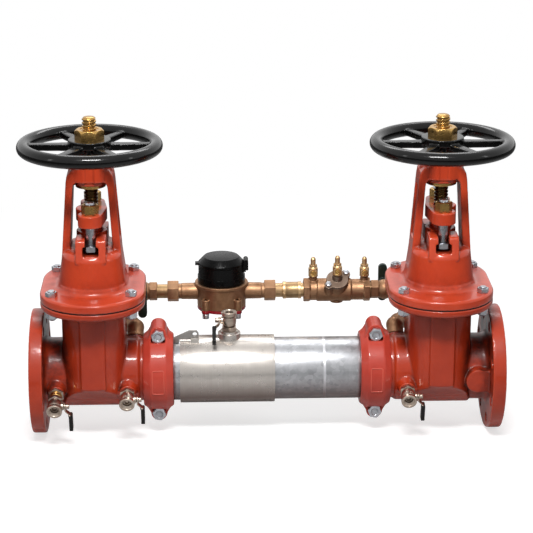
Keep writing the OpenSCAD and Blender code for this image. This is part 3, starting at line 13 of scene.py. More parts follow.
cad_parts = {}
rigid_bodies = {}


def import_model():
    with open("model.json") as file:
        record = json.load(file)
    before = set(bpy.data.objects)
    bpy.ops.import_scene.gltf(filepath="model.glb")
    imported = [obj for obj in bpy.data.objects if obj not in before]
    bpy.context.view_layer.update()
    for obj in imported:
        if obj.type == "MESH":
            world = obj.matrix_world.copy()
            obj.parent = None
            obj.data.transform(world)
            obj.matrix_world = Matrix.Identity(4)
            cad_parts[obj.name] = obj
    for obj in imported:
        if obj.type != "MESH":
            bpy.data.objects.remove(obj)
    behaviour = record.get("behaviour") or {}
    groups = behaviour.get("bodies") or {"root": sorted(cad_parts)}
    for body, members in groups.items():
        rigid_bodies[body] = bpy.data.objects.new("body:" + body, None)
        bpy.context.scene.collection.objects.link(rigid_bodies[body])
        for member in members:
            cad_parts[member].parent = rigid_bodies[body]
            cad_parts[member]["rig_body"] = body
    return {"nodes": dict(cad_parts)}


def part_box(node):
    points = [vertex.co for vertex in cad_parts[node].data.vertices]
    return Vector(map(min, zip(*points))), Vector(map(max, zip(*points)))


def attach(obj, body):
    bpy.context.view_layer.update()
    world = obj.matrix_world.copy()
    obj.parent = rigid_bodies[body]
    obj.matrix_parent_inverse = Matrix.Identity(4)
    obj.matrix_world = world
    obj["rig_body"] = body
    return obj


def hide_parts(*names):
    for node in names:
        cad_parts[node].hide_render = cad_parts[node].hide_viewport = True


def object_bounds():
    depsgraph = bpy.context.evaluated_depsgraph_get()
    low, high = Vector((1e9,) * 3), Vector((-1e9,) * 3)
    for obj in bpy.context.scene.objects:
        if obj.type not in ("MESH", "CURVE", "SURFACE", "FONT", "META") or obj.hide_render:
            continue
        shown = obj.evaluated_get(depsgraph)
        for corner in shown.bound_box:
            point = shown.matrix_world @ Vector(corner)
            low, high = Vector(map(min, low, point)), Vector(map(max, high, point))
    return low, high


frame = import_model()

CAD_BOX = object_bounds()
LOG = logging.getLogger("backflow_assembly")
MM = 0.001
SAME_POINT = 2e-6
FLAT = math.radians(0.8)
CREASE = math.radians(28.0)
THREAD_CREASE = math.radians(50.0)
# The pointiness at which an outer edge or an inner corner starts, and at which it is full.
OUTER_EDGE = (0.515, 0.57)
INNER_CORNER = (0.497, 0.455)
Value = bpy.types.NodeSocket | float | int | tuple
Colour = tuple[int, int, int]
Point = tuple[float, float, float]
Flat = tuple[float, float]


@dataclass(frozen=True)
class Layout:
    """Places along the pipe, in millimetres, that more than one sub-assembly uses."""

    lay_length: float = 857.0
    stem_x: float = 114.3
    coupling_x: float = 230.2


PLACES = Layout()


class Side(Enum):
    """The two ends of the assembly."""

    LEFT = "left"
    RIGHT = "right"

    def along(self, x: float) -> float:
        """Returns the place, in millimetres, that lies x from this side's flange face."""
        return x if self is Side.LEFT else PLACES.lay_length - x


class Wires:
    """Short way of adding and joining the nodes of one tree."""

    def __init__(self, tree: bpy.types.NodeTree) -> None:
        """Keeps the tree that the nodes go into."""
        self.tree = tree

    def add(self, kind: str, feeds: dict[str | int, Value] | None = None,
            **settings: object) -> bpy.types.Node:
        """Adds a node.

        Args:
            kind: The node's type name.
            feeds: A socket or a constant for each named or numbered input.
            settings: Properties set on the node.

        Returns:
            The node.
        """
        node = self.tree.nodes.new(kind)
        for key, value in settings.items():
            setattr(node, key, value)
        for key, value in (feeds or {}).items():
            self.feed(node.inputs[key], value)
        return node

    def feed(self, socket: bpy.types.NodeSocket, value: Value) -> None:
        """Links a socket to an input, or sets the input's constant."""
        if isinstance(value, bpy.types.NodeSocket):
            self.tree.links.new(value, socket)
        else:
            socket.default_value = value

    def math(self, operation: str, *terms: Value, clamp: bool = False) -> bpy.types.NodeSocket:
        """Adds one sum of numbers in a shader tree or a geometry tree.

        Args:
            operation: Name of the operation.
            terms: Up to three numbers or sockets.
            clamp: Whether the result is held between 0 and 1.

        Returns:
            The result's socket.
        """
        return self.add("ShaderNodeMath", dict(enumerate(terms)), operation=operation,
                        use_clamp=clamp).outputs[0]

    def noise(self, place: Value, scale: float, detail: float = 2.0,
              rough: float = 0.5) -> bpy.types.NodeSocket:
        """Adds a noise pattern read at a place, and returns its grey output."""
        return self.add("ShaderNodeTexNoise", {"Vector": place, "Scale": scale, "Detail": detail,
                                               "Roughness": rough}).outputs[0]

    def ramp(self, value: Value, low: float, high: float, to_low: float = 0.0,
             to_high: float = 1.0) -> bpy.types.NodeSocket:
        """Adds a clamped range change, and returns its result."""
        return self.add("ShaderNodeMapRange", {0: value, 1: low, 2: high, 3: to_low, 4: to_high}).outputs[0]

    def blend(self, share: Value, first: Value, second: Value) -> bpy.types.NodeSocket:
        """Adds a colour mix.

        Args:
            share: How much of the second colour there is, from 0 to 1.
            first: The first colour.
            second: The second colour.

        Returns:
            The mixed colour's socket.
        """
        node = self.add("ShaderNodeMix", data_type="RGBA")
        for index, value in ((0, share), (6, first), (7, second)):
            self.feed(node.inputs[index], value)
        return node.outputs[2]

    def stretch(self, place: Value, scale: Point) -> bpy.types.NodeSocket:
        """Adds a mapping that stretches a place along the axes, and returns it."""
        return self.add("ShaderNodeMapping", {"Vector": place, "Scale": scale}).outputs[0]

    def bump(self, height: Value, strength: float, depth: float,
             under: bpy.types.NodeSocket | None = None) -> bpy.types.NodeSocket:
        """Adds a bump.

        Args:
            height: The pattern's height, from 0 to 1.
            strength: How much of the bump shows.
            depth: Its depth in metres.
            under: The normal of a bump that it lies on, if there is one.

        Returns:
            The new normal's socket.
        """
        feeds: dict[str | int, Value] = {"Height": height, "Strength": strength, "Distance": depth}
        if under is not None:
            feeds["Normal"] = under
        return self.add("ShaderNodeBump", feeds).outputs[0]


def blank(owner: bpy.types.Material | bpy.types.World) -> Wires:
    """Empties a node tree, to be filled anew.

    Args:
        owner: The material or world that has the tree.

    Returns:
        The tree's wires.
    """
    owner.use_nodes = True
    owner.node_tree.nodes.clear()
    return Wires(owner.node_tree)


def shade(red: int, green: int, blue: int) -> tuple[float, float, float, float]:
    """Turns a screen colour of 0 to 255 into the linear colour that a shader takes."""
    def linear(part: int) -> float:
        """Undoes the screen curve for one part of the colour."""
        level = part / 255
        return level / 12.92 if level <= 0.04045 else ((level + 0.055) / 1.055) ** 2.4
    return linear(red), linear(green), linear(blue), 1.0


@dataclass(frozen=True)
class Finish:
    """A surface finish. Subclasses say how the colour, gloss and relief are made."""

    name: str
    slot: str
    colour: Colour
    second: Colour
    roughness: float = 0.4

    def material(self) -> bpy.types.Material:
        """Returns the finish's material, built on its first use."""
        made = bpy.data.materials.get(self.name)
        if made is not None:
            return made
        made = bpy.data.materials.new(self.name)
        wires = blank(made)
        surface = wires.add("ShaderNodeBsdfPrincipled")
        place = wires.add("ShaderNodeTexCoord").outputs["Object"]
        self.dress(wires, surface, place)
        wires.add("ShaderNodeOutputMaterial", {0: surface.outputs[0]})
        return made

    def dress(self, wires: Wires, surface: bpy.types.Node, place: bpy.types.NodeSocket) -> None:
        """Joins the finish's pattern to the shader. Each subclass has its own.

        Args:
            wires: The wires of the material's tree.
            surface: The shader node.
            place: The object coordinates that patterns are read at.
        """
        raise NotImplementedError

    def corners(self, wires: Wires) -> tuple[bpy.types.NodeSocket, bpy.types.NodeSocket]:
        """Returns how far the surface is an outer edge, and how far an inner corner."""
        point = wires.add("ShaderNodeNewGeometry").outputs["Pointiness"]
        return wires.ramp(point, *OUTER_EDGE), wires.ramp(point, *INNER_CORNER)


@dataclass(frozen=True)
class CastEnamel(Finish):
    """Enamel over a sand casting: grain, a clear gloss, worn edges, painted shade in inner corners, and
    blotches of painted shade mixed with dirt where the casting shelters itself.

    Pattern sizes are in cycles a metre, depths and reaches in metres.
    """

    edge: Colour = (220, 110, 80)
    # The corner colour is the painted shade of inner corners and sheltered spots.
    corner: Colour = (70, 22, 16)
    grain: float = 0.25
    coat: float = 0.6
    gloss: float = 0.25
    coat_roughness: float = 0.05
    patch_size: float = 14.0
    edge_share: float = 0.45
    corner_share: float = 0.75
    dirt_and_shade_share: float = 0.85
    shade_reach: float = 0.07
    blotch_size: float = 30.0
    grain_size: float = 420.0
    grain_depth: float = 0.0009
    pit_size: float = 1100.0
    pit_depth: float = 0.0003
    skin_size: float = 230.0
    skin_depth: float = 0.0008

    def dress(self, wires: Wires, surface: bpy.types.Node, place: bpy.types.NodeSocket) -> None:
        """Joins patches of tone, worn edges, painted shade in corners and sheltered spots with some dirt, and
        cast grain to the shader.

        Args:
            wires: The wires of the material's tree.
            surface: The shader node.
            place: The object coordinates.
        """
        outer, inner = self.corners(wires)
        corner = shade(*self.corner)
        broad = wires.noise(place, self.patch_size, detail=4.0, rough=0.6)
        colour = wires.blend(wires.ramp(broad, 0.3, 0.72), shade(*self.colour), shade(*self.second))
        colour = wires.blend(wires.math("MULTIPLY", outer, self.edge_share), colour, shade(*self.edge))
        # Painted shade: inner corners darken towards the corner colour.
        colour = wires.blend(wires.math("MULTIPLY", inner, self.corner_share), colour, corner)
        dirt_and_shade = self.dirt_and_shade(wires, place)
        # Painted shade mixed with dirt: sheltered blotches darken towards the corner colour.
        colour = wires.blend(wires.math("MULTIPLY", dirt_and_shade, self.dirt_and_shade_share), colour, corner)
        wires.feed(surface.inputs["Base Color"], colour)
        wires.feed(surface.inputs["Roughness"],
                   wires.ramp(broad, 0.25, 0.75, self.roughness - 0.06, self.roughness + 0.08))
        fine = wires.noise(place, self.grain_size, detail=3.0, rough=0.6)
        relief = wires.bump(fine, self.grain, self.grain_depth)
        relief = wires.bump(wires.noise(place, self.pit_size), self.grain * 0.6, self.pit_depth, relief)
        wires.feed(surface.inputs["Normal"], relief)
        skin = wires.bump(wires.noise(place, self.skin_size), self.grain * 0.7, self.skin_depth)
        wires.feed(surface.inputs["Coat Normal"], skin)
        # The gloss coat thins where the painted shade and dirt lie.
        wires.feed(surface.inputs["Coat Weight"], wires.math("MULTIPLY_ADD", dirt_and_shade, -self.coat, self.coat))
        surface.inputs["Coat Roughness"].default_value = self.coat_roughness
        surface.inputs["Specular IOR Level"].default_value = self.gloss

    def dirt_and_shade(self, wires: Wires, place: bpy.types.NodeSocket) -> bpy.types.NodeSocket:
        """Adds blotches of painted shade, mixed with dirt, where the casting's own shape shelters it.

        Args:
            wires: The wires of the material's tree.
            place: The object coordinates.

        Returns:
            How much painted shade and dirt the enamel gets, from 0 to 1.
        """
        # A local ambient occlusion finds the sheltered spots, so this darkening stands in for shade.
        shelter = wires.add("ShaderNodeAmbientOcclusion", {"Distance": self.shade_reach}, samples=8,
                            only_local=True).outputs["AO"]
        blotches = wires.noise(place, self.blotch_size, detail=5.0, rough=0.65)
        return wires.math("MULTIPLY", wires.ramp(shelter, 0.86, 0.5), wires.ramp(blotches, 0.34, 0.56))


class Grain(Enum):
    """The way that the tool marks of a metal surface run."""

    NONE = (60.0, 60.0, 60.0)
    RINGS_X = (900.0, 6.0, 6.0)
    ALONG_X = (5.0, 420.0, 420.0)
    RINGS_Z = (8.0, 8.0, 1100.0)


@dataclass(frozen=True)
class BareMetal(Finish):
    """Bare or plated metal with tool marks, tarnish patches, corners dark with tarnish and painted shade, and
    a painted dark reflection on downward faces where an under colour is given.
    """

    grain: Grain = Grain.NONE
    marks: float = 0.15
    tarnish: float = 0.5
    # The corner colour is tarnish with painted shade in inner corners.
    corner: Colour = (40, 30, 22)
    # The under colour is a painted dark reflection and shade on downward faces.
    under: Colour | None = None
    underside_shade_share: float = 0.9
    underside_shade_full: float = -0.6
    patch_size: float = 45.0
    edge_share: float = 0.3
    corner_share: float = 0.7
    mark_depth: float = 0.0006

    def dress(self, wires: Wires, surface: bpy.types.Node, place: bpy.types.NodeSocket) -> None:
        """Joins tarnish, tool marks, bright edges, corners dark with tarnish and painted shade, and a painted
        dark underside to the shader.

        Args:
            wires: The wires of the material's tree.
            surface: The shader node.
            place: The object coordinates.
        """
        outer, inner = self.corners(wires)
        broad = wires.noise(place, self.patch_size, detail=5.0, rough=0.62)
        marks = wires.noise(wires.stretch(place, self.grain.value), 1.0, detail=3.0, rough=0.6)
        colour = wires.blend(wires.math("MULTIPLY", wires.ramp(broad, 0.35, 0.75), self.tarnish),
                             shade(*self.colour), shade(*self.second))
        colour = wires.blend(wires.math("MULTIPLY", wires.ramp(marks, 0.3, 0.8), self.marks * 1.5),
                             colour, shade(*self.second))
        # Painted reflection and shade: faces darken towards the under colour as they turn down.
        if self.under is not None:
            facing = wires.add("ShaderNodeSeparateXYZ",
                               {0: wires.add("ShaderNodeTexCoord").outputs["Normal"]}).outputs[2]
            colour = wires.blend(wires.ramp(facing, 0.0, self.underside_shade_full, 0.0, self.underside_shade_share), colour,
                                 shade(*self.under))
        # Inner corners darken towards the corner colour: tarnish with painted shade.
        colour = wires.blend(wires.math("MULTIPLY", inner, self.corner_share), colour, shade(*self.corner))
        colour = wires.blend(wires.math("MULTIPLY", outer, self.edge_share), colour, shade(*self.colour))
        wires.feed(surface.inputs["Base Color"], colour)
        surface.inputs["Metallic"].default_value = 1.0
        rough = wires.math("ADD", wires.ramp(broad, 0.3, 0.7, self.roughness - 0.07, self.roughness + 0.09),
                           wires.math("MULTIPLY", marks, self.marks * 0.6))
        wires.feed(surface.inputs["Roughness"], rough)
        wires.feed(surface.inputs["Normal"], wires.bump(marks, self.marks, self.mark_depth))

    def over(self, wires: Wires, surface: bpy.types.Node, share: Value, colour: Colour) -> None:
        """Blends a colour over the base colour that is already joined to the shader."""
        before = surface.inputs["Base Color"].links[0].from_socket
        wires.feed(surface.inputs["Base Color"], wires.blend(share, before, shade(*colour)))


@dataclass(frozen=True)
class Spangle(BareMetal):
    """Hot-dip zinc: crystal patches of slightly different grey."""

    crystal: Colour = (96, 98, 102)
    crystal_size: float = 130.0
    crystal_share: float = 0.35

    def dress(self, wires: Wires, surface: bpy.types.Node, place: bpy.types.NodeSocket) -> None:
        """Adds zinc crystals to the bare metal's pattern.

        Args:
            wires: The wires of the material's tree.
            surface: The shader node.
            place: The object coordinates.
        """
        super().dress(wires, surface, place)
        cells = wires.add("ShaderNodeTexVoronoi", {"Vector": place, "Scale": self.crystal_size})
        level = wires.add("ShaderNodeSeparateColor", {0: cells.outputs["Color"]}).outputs[0]
        self.over(wires, surface, wires.math("MULTIPLY", level, self.crystal_share), self.crystal)


@dataclass(frozen=True)
class DarkerBelow(BareMetal):
    """A threaded bronze stem: bright above the wheel, darker below it."""

    below_colour: Colour = (28, 22, 16)
    below_share: float = 0.82
    border_height: float = 0.455
    blur: float = 0.01

    def dress(self, wires: Wires, surface: bpy.types.Node, place: bpy.types.NodeSocket) -> None:
        """Darkens the stem below the wheel, with an uneven border.

        Args:
            wires: The wires of the material's tree.
            surface: The shader node.
            place: The object coordinates.
        """
        super().dress(wires, surface, place)
        # The stem darkens towards the below colour under the border height, with an uneven border.
        height = wires.add("ShaderNodeSeparateXYZ", {0: place}).outputs[2]
        uneven = wires.math("ADD", height, wires.math("MULTIPLY", wires.noise(place, 90.0), self.blur))
        self.over(wires, surface, wires.ramp(uneven, self.border_height + 0.006, self.border_height - 0.02, 0.0,
                                             self.below_share), self.below_colour)


@dataclass(frozen=True)
class Moulded(Finish):
    """Moulded plastic, vinyl or rubber with a fine grain."""

    grain: float = 0.2
    size: float = 900.0
    gloss: float = 0.25
    edge_share: float = 0.25
    patch_size: float = 60.0
    grain_depth: float = 0.0003

    def dress(self, wires: Wires, surface: bpy.types.Node, place: bpy.types.NodeSocket) -> None:
        """Joins a scuffed colour and a moulded grain to the shader.

        Args:
            wires: The wires of the material's tree.
            surface: The shader node.
            place: The object coordinates.
        """
        second = shade(*self.second)
        broad = wires.noise(place, self.patch_size, detail=4.0, rough=0.6)
        colour = wires.blend(wires.ramp(broad, 0.35, 0.7), shade(*self.colour), second)
        outer = self.corners(wires)[0]
        colour = wires.blend(wires.math("MULTIPLY", outer, self.edge_share), colour, second)
        wires.feed(surface.inputs["Base Color"], colour)
        wires.feed(surface.inputs["Roughness"],
                   wires.ramp(broad, 0.3, 0.7, self.roughness - 0.05, self.roughness + 0.08))
        wires.feed(surface.inputs["Normal"],
                   wires.bump(wires.noise(place, self.size), self.grain, self.grain_depth))
        surface.inputs["Specular IOR Level"].default_value = self.gloss


# Each enamel's corner colour is the painted shade of its inner corners and sheltered spots.
RED = CastEnamel("gate_valve_red", "red_enamel", (184, 58, 26), (158, 45, 20), 0.36, grain=0.26, coat=0.4,
                 edge=(206, 88, 58), corner=(38, 14, 10))
# Painted light: a lighter copy of the body's red enamel, for the upward-facing bonnets and gland followers.
LIT_BONNET_RED = CastEnamel("lit_bonnet_red", "red_enamel", (204, 70, 36), (182, 56, 28), 0.34, grain=0.14, coat=0.5,
                        edge=(214, 92, 62), corner=(40, 14, 10))
COUPLING_RED = CastEnamel("coupling_red", "coupling_enamel", (196, 70, 54), (176, 56, 42), 0.42, coat=0.25,
                          edge=(224, 108, 90), corner=(70, 20, 14), grain=0.16)
WHEEL_BLACK = CastEnamel("wheel_black", "black_enamel", (6, 6, 6), (9, 8, 8), 0.24, grain=0.1, coat=0.45,
                         edge=(16, 15, 15), corner=(3, 3, 3), gloss=0.12)
CRIMSON = CastEnamel("base_crimson", "crimson_enamel", (140, 16, 26), (112, 12, 20), 0.4, grain=0.15,
                     coat=0.3, edge=(170, 50, 50), corner=(40, 6, 8))
HANDLE_GREEN = CastEnamel("handle_green", "green_handle", (22, 40, 34), (16, 28, 26), 0.4, grain=0.1,
                          coat=0.3, edge=(60, 80, 70), corner=(6, 10, 9))
# Each metal's corner colour is tarnish with painted shade in its inner corners.
BRASS = BareMetal("turned_brass", "nut_brass", (212, 172, 104), (150, 112, 60), 0.24, Grain.RINGS_Z,
                  0.12, 0.7, corner=(58, 38, 16))
STEM = DarkerBelow("stem_bronze", "stem_brass", (206, 164, 98), (136, 98, 50), 0.26, Grain.RINGS_Z, 0.1, 0.6,
               corner=(40, 26, 10))
BRONZE = BareMetal("cast_bronze", "bronze", (176, 136, 104), (118, 86, 63), 0.42, Grain.NONE, 0.25, 0.85,
                   corner=(44, 30, 20))
PALE_BRONZE = BareMetal("pale_bronze", "bronze", (212, 178, 134), (156, 122, 86), 0.34, Grain.NONE, 0.2, 0.7,
                        corner=(60, 42, 28))
COVER_BRONZE = BareMetal("cover_bronze", "bronze", (142, 122, 108), (100, 84, 72), 0.44, Grain.NONE, 0.2, 0.7,
                         corner=(36, 26, 20))
NICKEL = BareMetal("nickel_plate", "nickel", (200, 186, 172), (126, 106, 92), 0.28, Grain.NONE, 0.12, 0.8,
                   corner=(44, 34, 26))
ZINC = BareMetal("zinc_plate", "zinc_steel", (204, 206, 212), (132, 134, 140), 0.24, Grain.NONE, 0.1, 0.7,
                 corner=(34, 34, 36))
# The under colours of the sleeve, tube and weld ring below are painted dark reflection and shade on their
# undersides.
SLEEVE_STEEL = BareMetal("brushed_sleeve", "stainless", (206, 200, 194), (164, 156, 148), 0.25, Grain.RINGS_X,
                         0.2, 0.35, corner=(54, 46, 40), under=(80, 50, 40))
TUBE_ZINC = Spangle("galvanised_tube", "galvanised", (200, 201, 204), (150, 150, 154), 0.28, Grain.ALONG_X,
                    0.2, 0.5, corner=(54, 52, 50), under=(92, 62, 52))
# The weld ring is paler than the tube: bare ground steel, and a painted highlight along the seam.
WELD_STEEL = BareMetal("weld_ring", "galvanised", (222, 222, 226), (176, 176, 180), 0.32, Grain.RINGS_X,
                       0.1, 0.3, corner=(120, 118, 116), under=(92, 62, 52))
PLATE_STEEL = BareMetal("lock_plate_steel", "zinc_steel", (168, 164, 160), (120, 116, 112), 0.35, Grain.NONE,
                        0.2, 0.6, corner=(50, 46, 42))
RUBBER = Moulded("black_rubber", "rubber", (16, 16, 17), (28, 27, 27), 0.6)
WEDGE_RUBBER = Moulded("wedge_rubber", "coated_wedge", (22, 22, 23), (34, 33, 33), 0.5)
LID_BLACK = Moulded("lid_plastic", "black_plastic", (5, 5, 5), (9, 9, 9), 0.26, 0.3, 1300.0, 0.12)
GRIP_BLACK = Moulded("grip_vinyl", "rubber", (12, 12, 12), (22, 21, 21), 0.3, 0.1)
DIAL_WHITE = Moulded("dial_white", "register_white", (232, 232, 226), (214, 214, 206), 0.3, 0.02)
HAND_RED = Moulded("hand_red", "hand_red", (190, 26, 22), (160, 20, 18), 0.35, 0.02)
POPPET_GREY = Moulded("poppet_grey", "poppet_plastic", (60, 60, 66), (48, 48, 52), 0.45, 0.1)


def show(data: bpy.types.ID, name: str) -> bpy.types.Object:
    """Puts something in the scene as an object at the origin.

    Args:
        data: A mesh, a lamp or a camera.
        name: The object's name.

    Returns:
        The object.
    """
    piece = bpy.data.objects.new(name, data)
    bpy.context.scene.collection.objects.link(piece)
    return piece


def settle(piece: bpy.types.Object) -> None:
    """Turns modifiers into a plain mesh.

    Args:
        piece: The piece, whose mesh is replaced by the outcome of its modifiers.
    """
    bpy.context.view_layer.update()
    graph = bpy.context.evaluated_depsgraph_get()
    mesh = bpy.data.meshes.new_from_object(piece.evaluated_get(graph))
    old = piece.data
    piece.modifiers.clear()
    piece.data = mesh
    if old.users == 0:
        bpy.data.meshes.remove(old)


def baked(work: bmesh.types.BMesh, name: str, crease: float | None = CREASE) -> bpy.types.Mesh:
    """Turns a working mesh into a smooth one.

    Args:
        work: The working mesh, which is freed.
        name: The new mesh's name.
        crease: Angle in radians from which an edge stays sharp, or None where none does.

    Returns:
        The mesh.
    """
    mesh = bpy.data.meshes.new(name)
    work.to_mesh(mesh)
    work.free()
    mesh.shade_smooth()
    if crease is not None:
        mesh.set_sharp_from_angle(angle=crease)
    return mesh


def merged(node: str) -> bpy.types.Mesh:
    """Copies a CAD node's mesh and joins its loose triangles.

    Args:
        node: The node's name.

    Returns:
        The copy.
    """
    mesh = frame["nodes"][node].data.copy()
    mesh.materials.clear()
    work = bmesh.new()
    work.from_mesh(mesh)
    bmesh.ops.remove_doubles(work, verts=work.verts, dist=SAME_POINT)
    work.to_mesh(mesh)
    work.free()
    return mesh


def count(mesh: bpy.types.Mesh) -> int:
    """Returns the number of triangles that a mesh makes."""
    return sum(len(face.vertices) - 2 for face in mesh.polygons)


def dress(piece: bpy.types.Object, finish: Finish, nodes: Sequence[str], body: str | None = None,
          coated: bool = False) -> None:
    """Gives a piece its finish, its body and the nodes that it stands for.

    Args:
        piece: The finished piece.
        finish: Its finish.
        nodes: CAD nodes that it replaces; the first gives its body.
        body: The body, where no node is replaced.
        coated: Whether the piece already has its materials, which stay.
    """
    if not coated:
        piece.data.materials.clear()
        piece.data.materials.append(finish.material())
    if nodes:
        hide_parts(*nodes)
    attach(piece, body or frame["nodes"][nodes[0]]["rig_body"])
    LOG.info("%s: %d triangles, %s", piece.name, count(piece.data), finish.name)


@dataclass(frozen=True)
class Shaping:
    """How a CAD solid is turned into a finished piece. Subclasses say how its edges are treated."""

    def make(self, node: str, name: str) -> bpy.types.Object:
        """Returns a finished copy of a node. Each subclass has its own."""
        raise NotImplementedError

    def place(self, node: str, name: str, finish: Finish) -> None:
        """Makes a piece from a node, dresses it and lets it stand for that node."""
        dress(self.make(node, name), finish, [node])


@dataclass(frozen=True)
class Casting(Shaping):
    """Rounds every edge, as on a casting. The cell is in millimetres, the limit in triangles."""

    cell: float = 0.9
    soften: int = 5
    limit: int = 50000

    def make(self, node: str, name: str) -> bpy.types.Object:
        """Rounds a copy of a node.

        Args:
            node: The CAD node.
            name: The piece's name.

        Returns:
            The piece, not yet dressed.
        """
        piece = show(merged(node), name)
        skin = piece.modifiers.new("skin", "REMESH")
        skin.mode = "VOXEL"
        skin.voxel_size = self.cell * MM * 1.0
        smooth = piece.modifiers.new("soften", "SMOOTH")
        smooth.factor = 0.5
        smooth.iterations = self.soften
        settle(piece)
        triangles = count(piece.data)
        if triangles > self.limit:
            thin = piece.modifiers.new("thin", "DECIMATE")
            thin.ratio = self.limit / triangles
            settle(piece)
        piece.data.shade_smooth()
        return piece


@dataclass(frozen=True)
class Machining(Shaping):
    """Breaks the sharp edges, as on a machined piece. The edge is in millimetres, the angle in degrees."""

    edge: float = 0.5
    angle: float = 30.0

    def make(self, node: str, name: str) -> bpy.types.Object:
        """Breaks the edges of a copy of a node.

        Args:
            node: The CAD node.
            name: The piece's name.

        Returns:
            The piece, not yet dressed.
        """
        piece = show(merged(node), name)
        work = bmesh.new()
        work.from_mesh(piece.data)
        bmesh.ops.dissolve_limit(work, angle_limit=FLAT, verts=work.verts, edges=work.edges,
                                 delimit={"NORMAL"})
        work.to_mesh(piece.data)
        work.free()
        bevel = piece.modifiers.new("edge", "BEVEL")
        bevel.width = self.edge * MM
        bevel.segments = 2
        bevel.limit_method = "ANGLE"
        bevel.angle_limit = math.radians(self.angle)
        bevel.use_clamp_overlap = True
        piece.modifiers.new("triangles", "TRIANGULATE")
        settle(piece)
        piece.data.shade_smooth()
        piece.data.set_sharp_from_angle(angle=math.radians(self.angle))
        return piece


@dataclass
class Turning:
    """A closed solid swept round its own Z axis, ring by ring, in millimetres."""

    steps: int = 48
    rings: list[list[Flat]] = field(default_factory=list)

    def round(self, *points: Flat) -> "Turning":
        """Adds circular rings, each as a radius and a height, and returns the turning."""
        for radius, height in points:
            self.rings.append([(radius, height)] * self.steps)
        return self

    def hexagon(self, flats: float, height: float, chamfer: float = 0.0) -> "Turning":
        """Adds a hexagonal ring.

        Args:
            flats: Width across the flats.
            height: Height of the ring at the middle of a flat.
            chamfer: Slope by which the corners fall below that height, negative for an underside.

        Returns:
            The turning.
        """
        ring: list[Flat] = []
        for step in range(self.steps):
            angle = 2 * math.pi * step / self.steps
            off = (angle + math.pi / 6) % (math.pi / 3) - math.pi / 6
            radius = flats / 2 / math.cos(off)
            ring.append((radius, height - chamfer * (radius - flats / 2)))
        self.rings.append(ring)
        return self

    def mesh(self, name: str, turn: float = 0.0) -> bpy.types.Mesh:
        """Builds the solid with closed ends, or as a closed ring where its last points are its first.

        Args:
            name: The mesh's name.
            turn: Angle in degrees about the axis.

        Returns:
            The mesh, in metres.
        """
        work = bmesh.new()
        start = math.radians(turn)
        rows = []
        for ring in self.rings:
            row = []
            for step, (radius, height) in enumerate(ring):
                angle = start + 2 * math.pi * step / self.steps
                row.append(work.verts.new((radius * math.cos(angle) * MM, radius * math.sin(angle) * MM,
                                           height * MM)))
            rows.append(row)
        loop = self.rings[0] == self.rings[-1]
        pairs = list(zip(rows, rows[1:]))
        if loop:
            pairs[-1] = (rows[-2], rows[0])
        for low, high in pairs:
            for step in range(self.steps):
                after = (step + 1) % self.steps
                work.faces.new((low[step], low[after], high[after], high[step]))
        if loop:
            bmesh.ops.delete(work, geom=rows[-1], context="VERTS")
        for row, flip in () if loop else ((rows[0], True), (rows[-1], False)):
            middle = work.verts.new(sum((v.co for v in row), Vector()) / len(row))
            for step in range(self.steps):
                pair = (row[step], row[(step + 1) % self.steps])
                work.faces.new((middle, *(reversed(pair) if flip else pair)))
        bmesh.ops.remove_doubles(work, verts=work.verts, dist=1e-7)
        bmesh.ops.recalc_face_normals(work, faces=work.faces)
        return baked(work, name)


def rings_of_thread(radius: float, low: float, high: float, pitch: float, depth: float) -> list[Flat]:
    """Makes ring points that stand for a screw thread.

    Args:
        radius: Outer radius in millimetres.
        low: Height of its lower end.
        high: Height of its upper end.
        pitch: Height of one turn.
        depth: Depth of the grooves.

    Returns:
        Each ring's radius and height.
    """
    points = []
    turns = max(1, int((high - low) / pitch))
    for turn in range(turns):
        base = low + turn * pitch
        points += [(radius - depth, base), (radius, base + pitch * 0.45), (radius, base + pitch * 0.6)]
    points.append((radius - depth, high - 0.01))
    points.append((radius - depth - 0.5, high))
    return points


def new_tree(name: str, inputs: Iterable[tuple[str, str, object]]
             ) -> tuple[bpy.types.NodeTree, Wires, dict[str, bpy.types.NodeSocket]]:
    """Starts a geometry tree with named inputs.

    Args:
        name: The tree's name.
        inputs: Name, socket type and default of each input.

    Returns:
        The tree, its wires, and the input sockets by name.
    """
    tree = bpy.data.node_groups.new(name, "GeometryNodeTree")
    tree.interface.new_socket("Geometry", in_out="INPUT", socket_type="NodeSocketGeometry")
    tree.interface.new_socket("Geometry", in_out="OUTPUT", socket_type="NodeSocketGeometry")
    for label, kind, default in inputs:
        socket = tree.interface.new_socket(label, in_out="INPUT", socket_type=kind)
        if default is not None:
            socket.default_value = default
    wires = Wires(tree)
    entry = wires.add("NodeGroupInput")
    return tree, wires, {s.name: s for s in entry.outputs}


def close_tree(wires: Wires, geometry: bpy.types.NodeSocket, material: bpy.types.NodeSocket) -> None:
    """Ends a geometry tree in Realize Instances and Set Material.

    Args:
        wires: The tree's wires.
        geometry: What the tree has made.
        material: The material that it gets.
    """
    real = wires.add("GeometryNodeRealizeInstances", {0: geometry}).outputs[0]
    done = wires.add("GeometryNodeSetMaterial", {"Geometry": real, "Material": material}).outputs[0]
    wires.feed(wires.add("NodeGroupOutput").inputs[0], done)


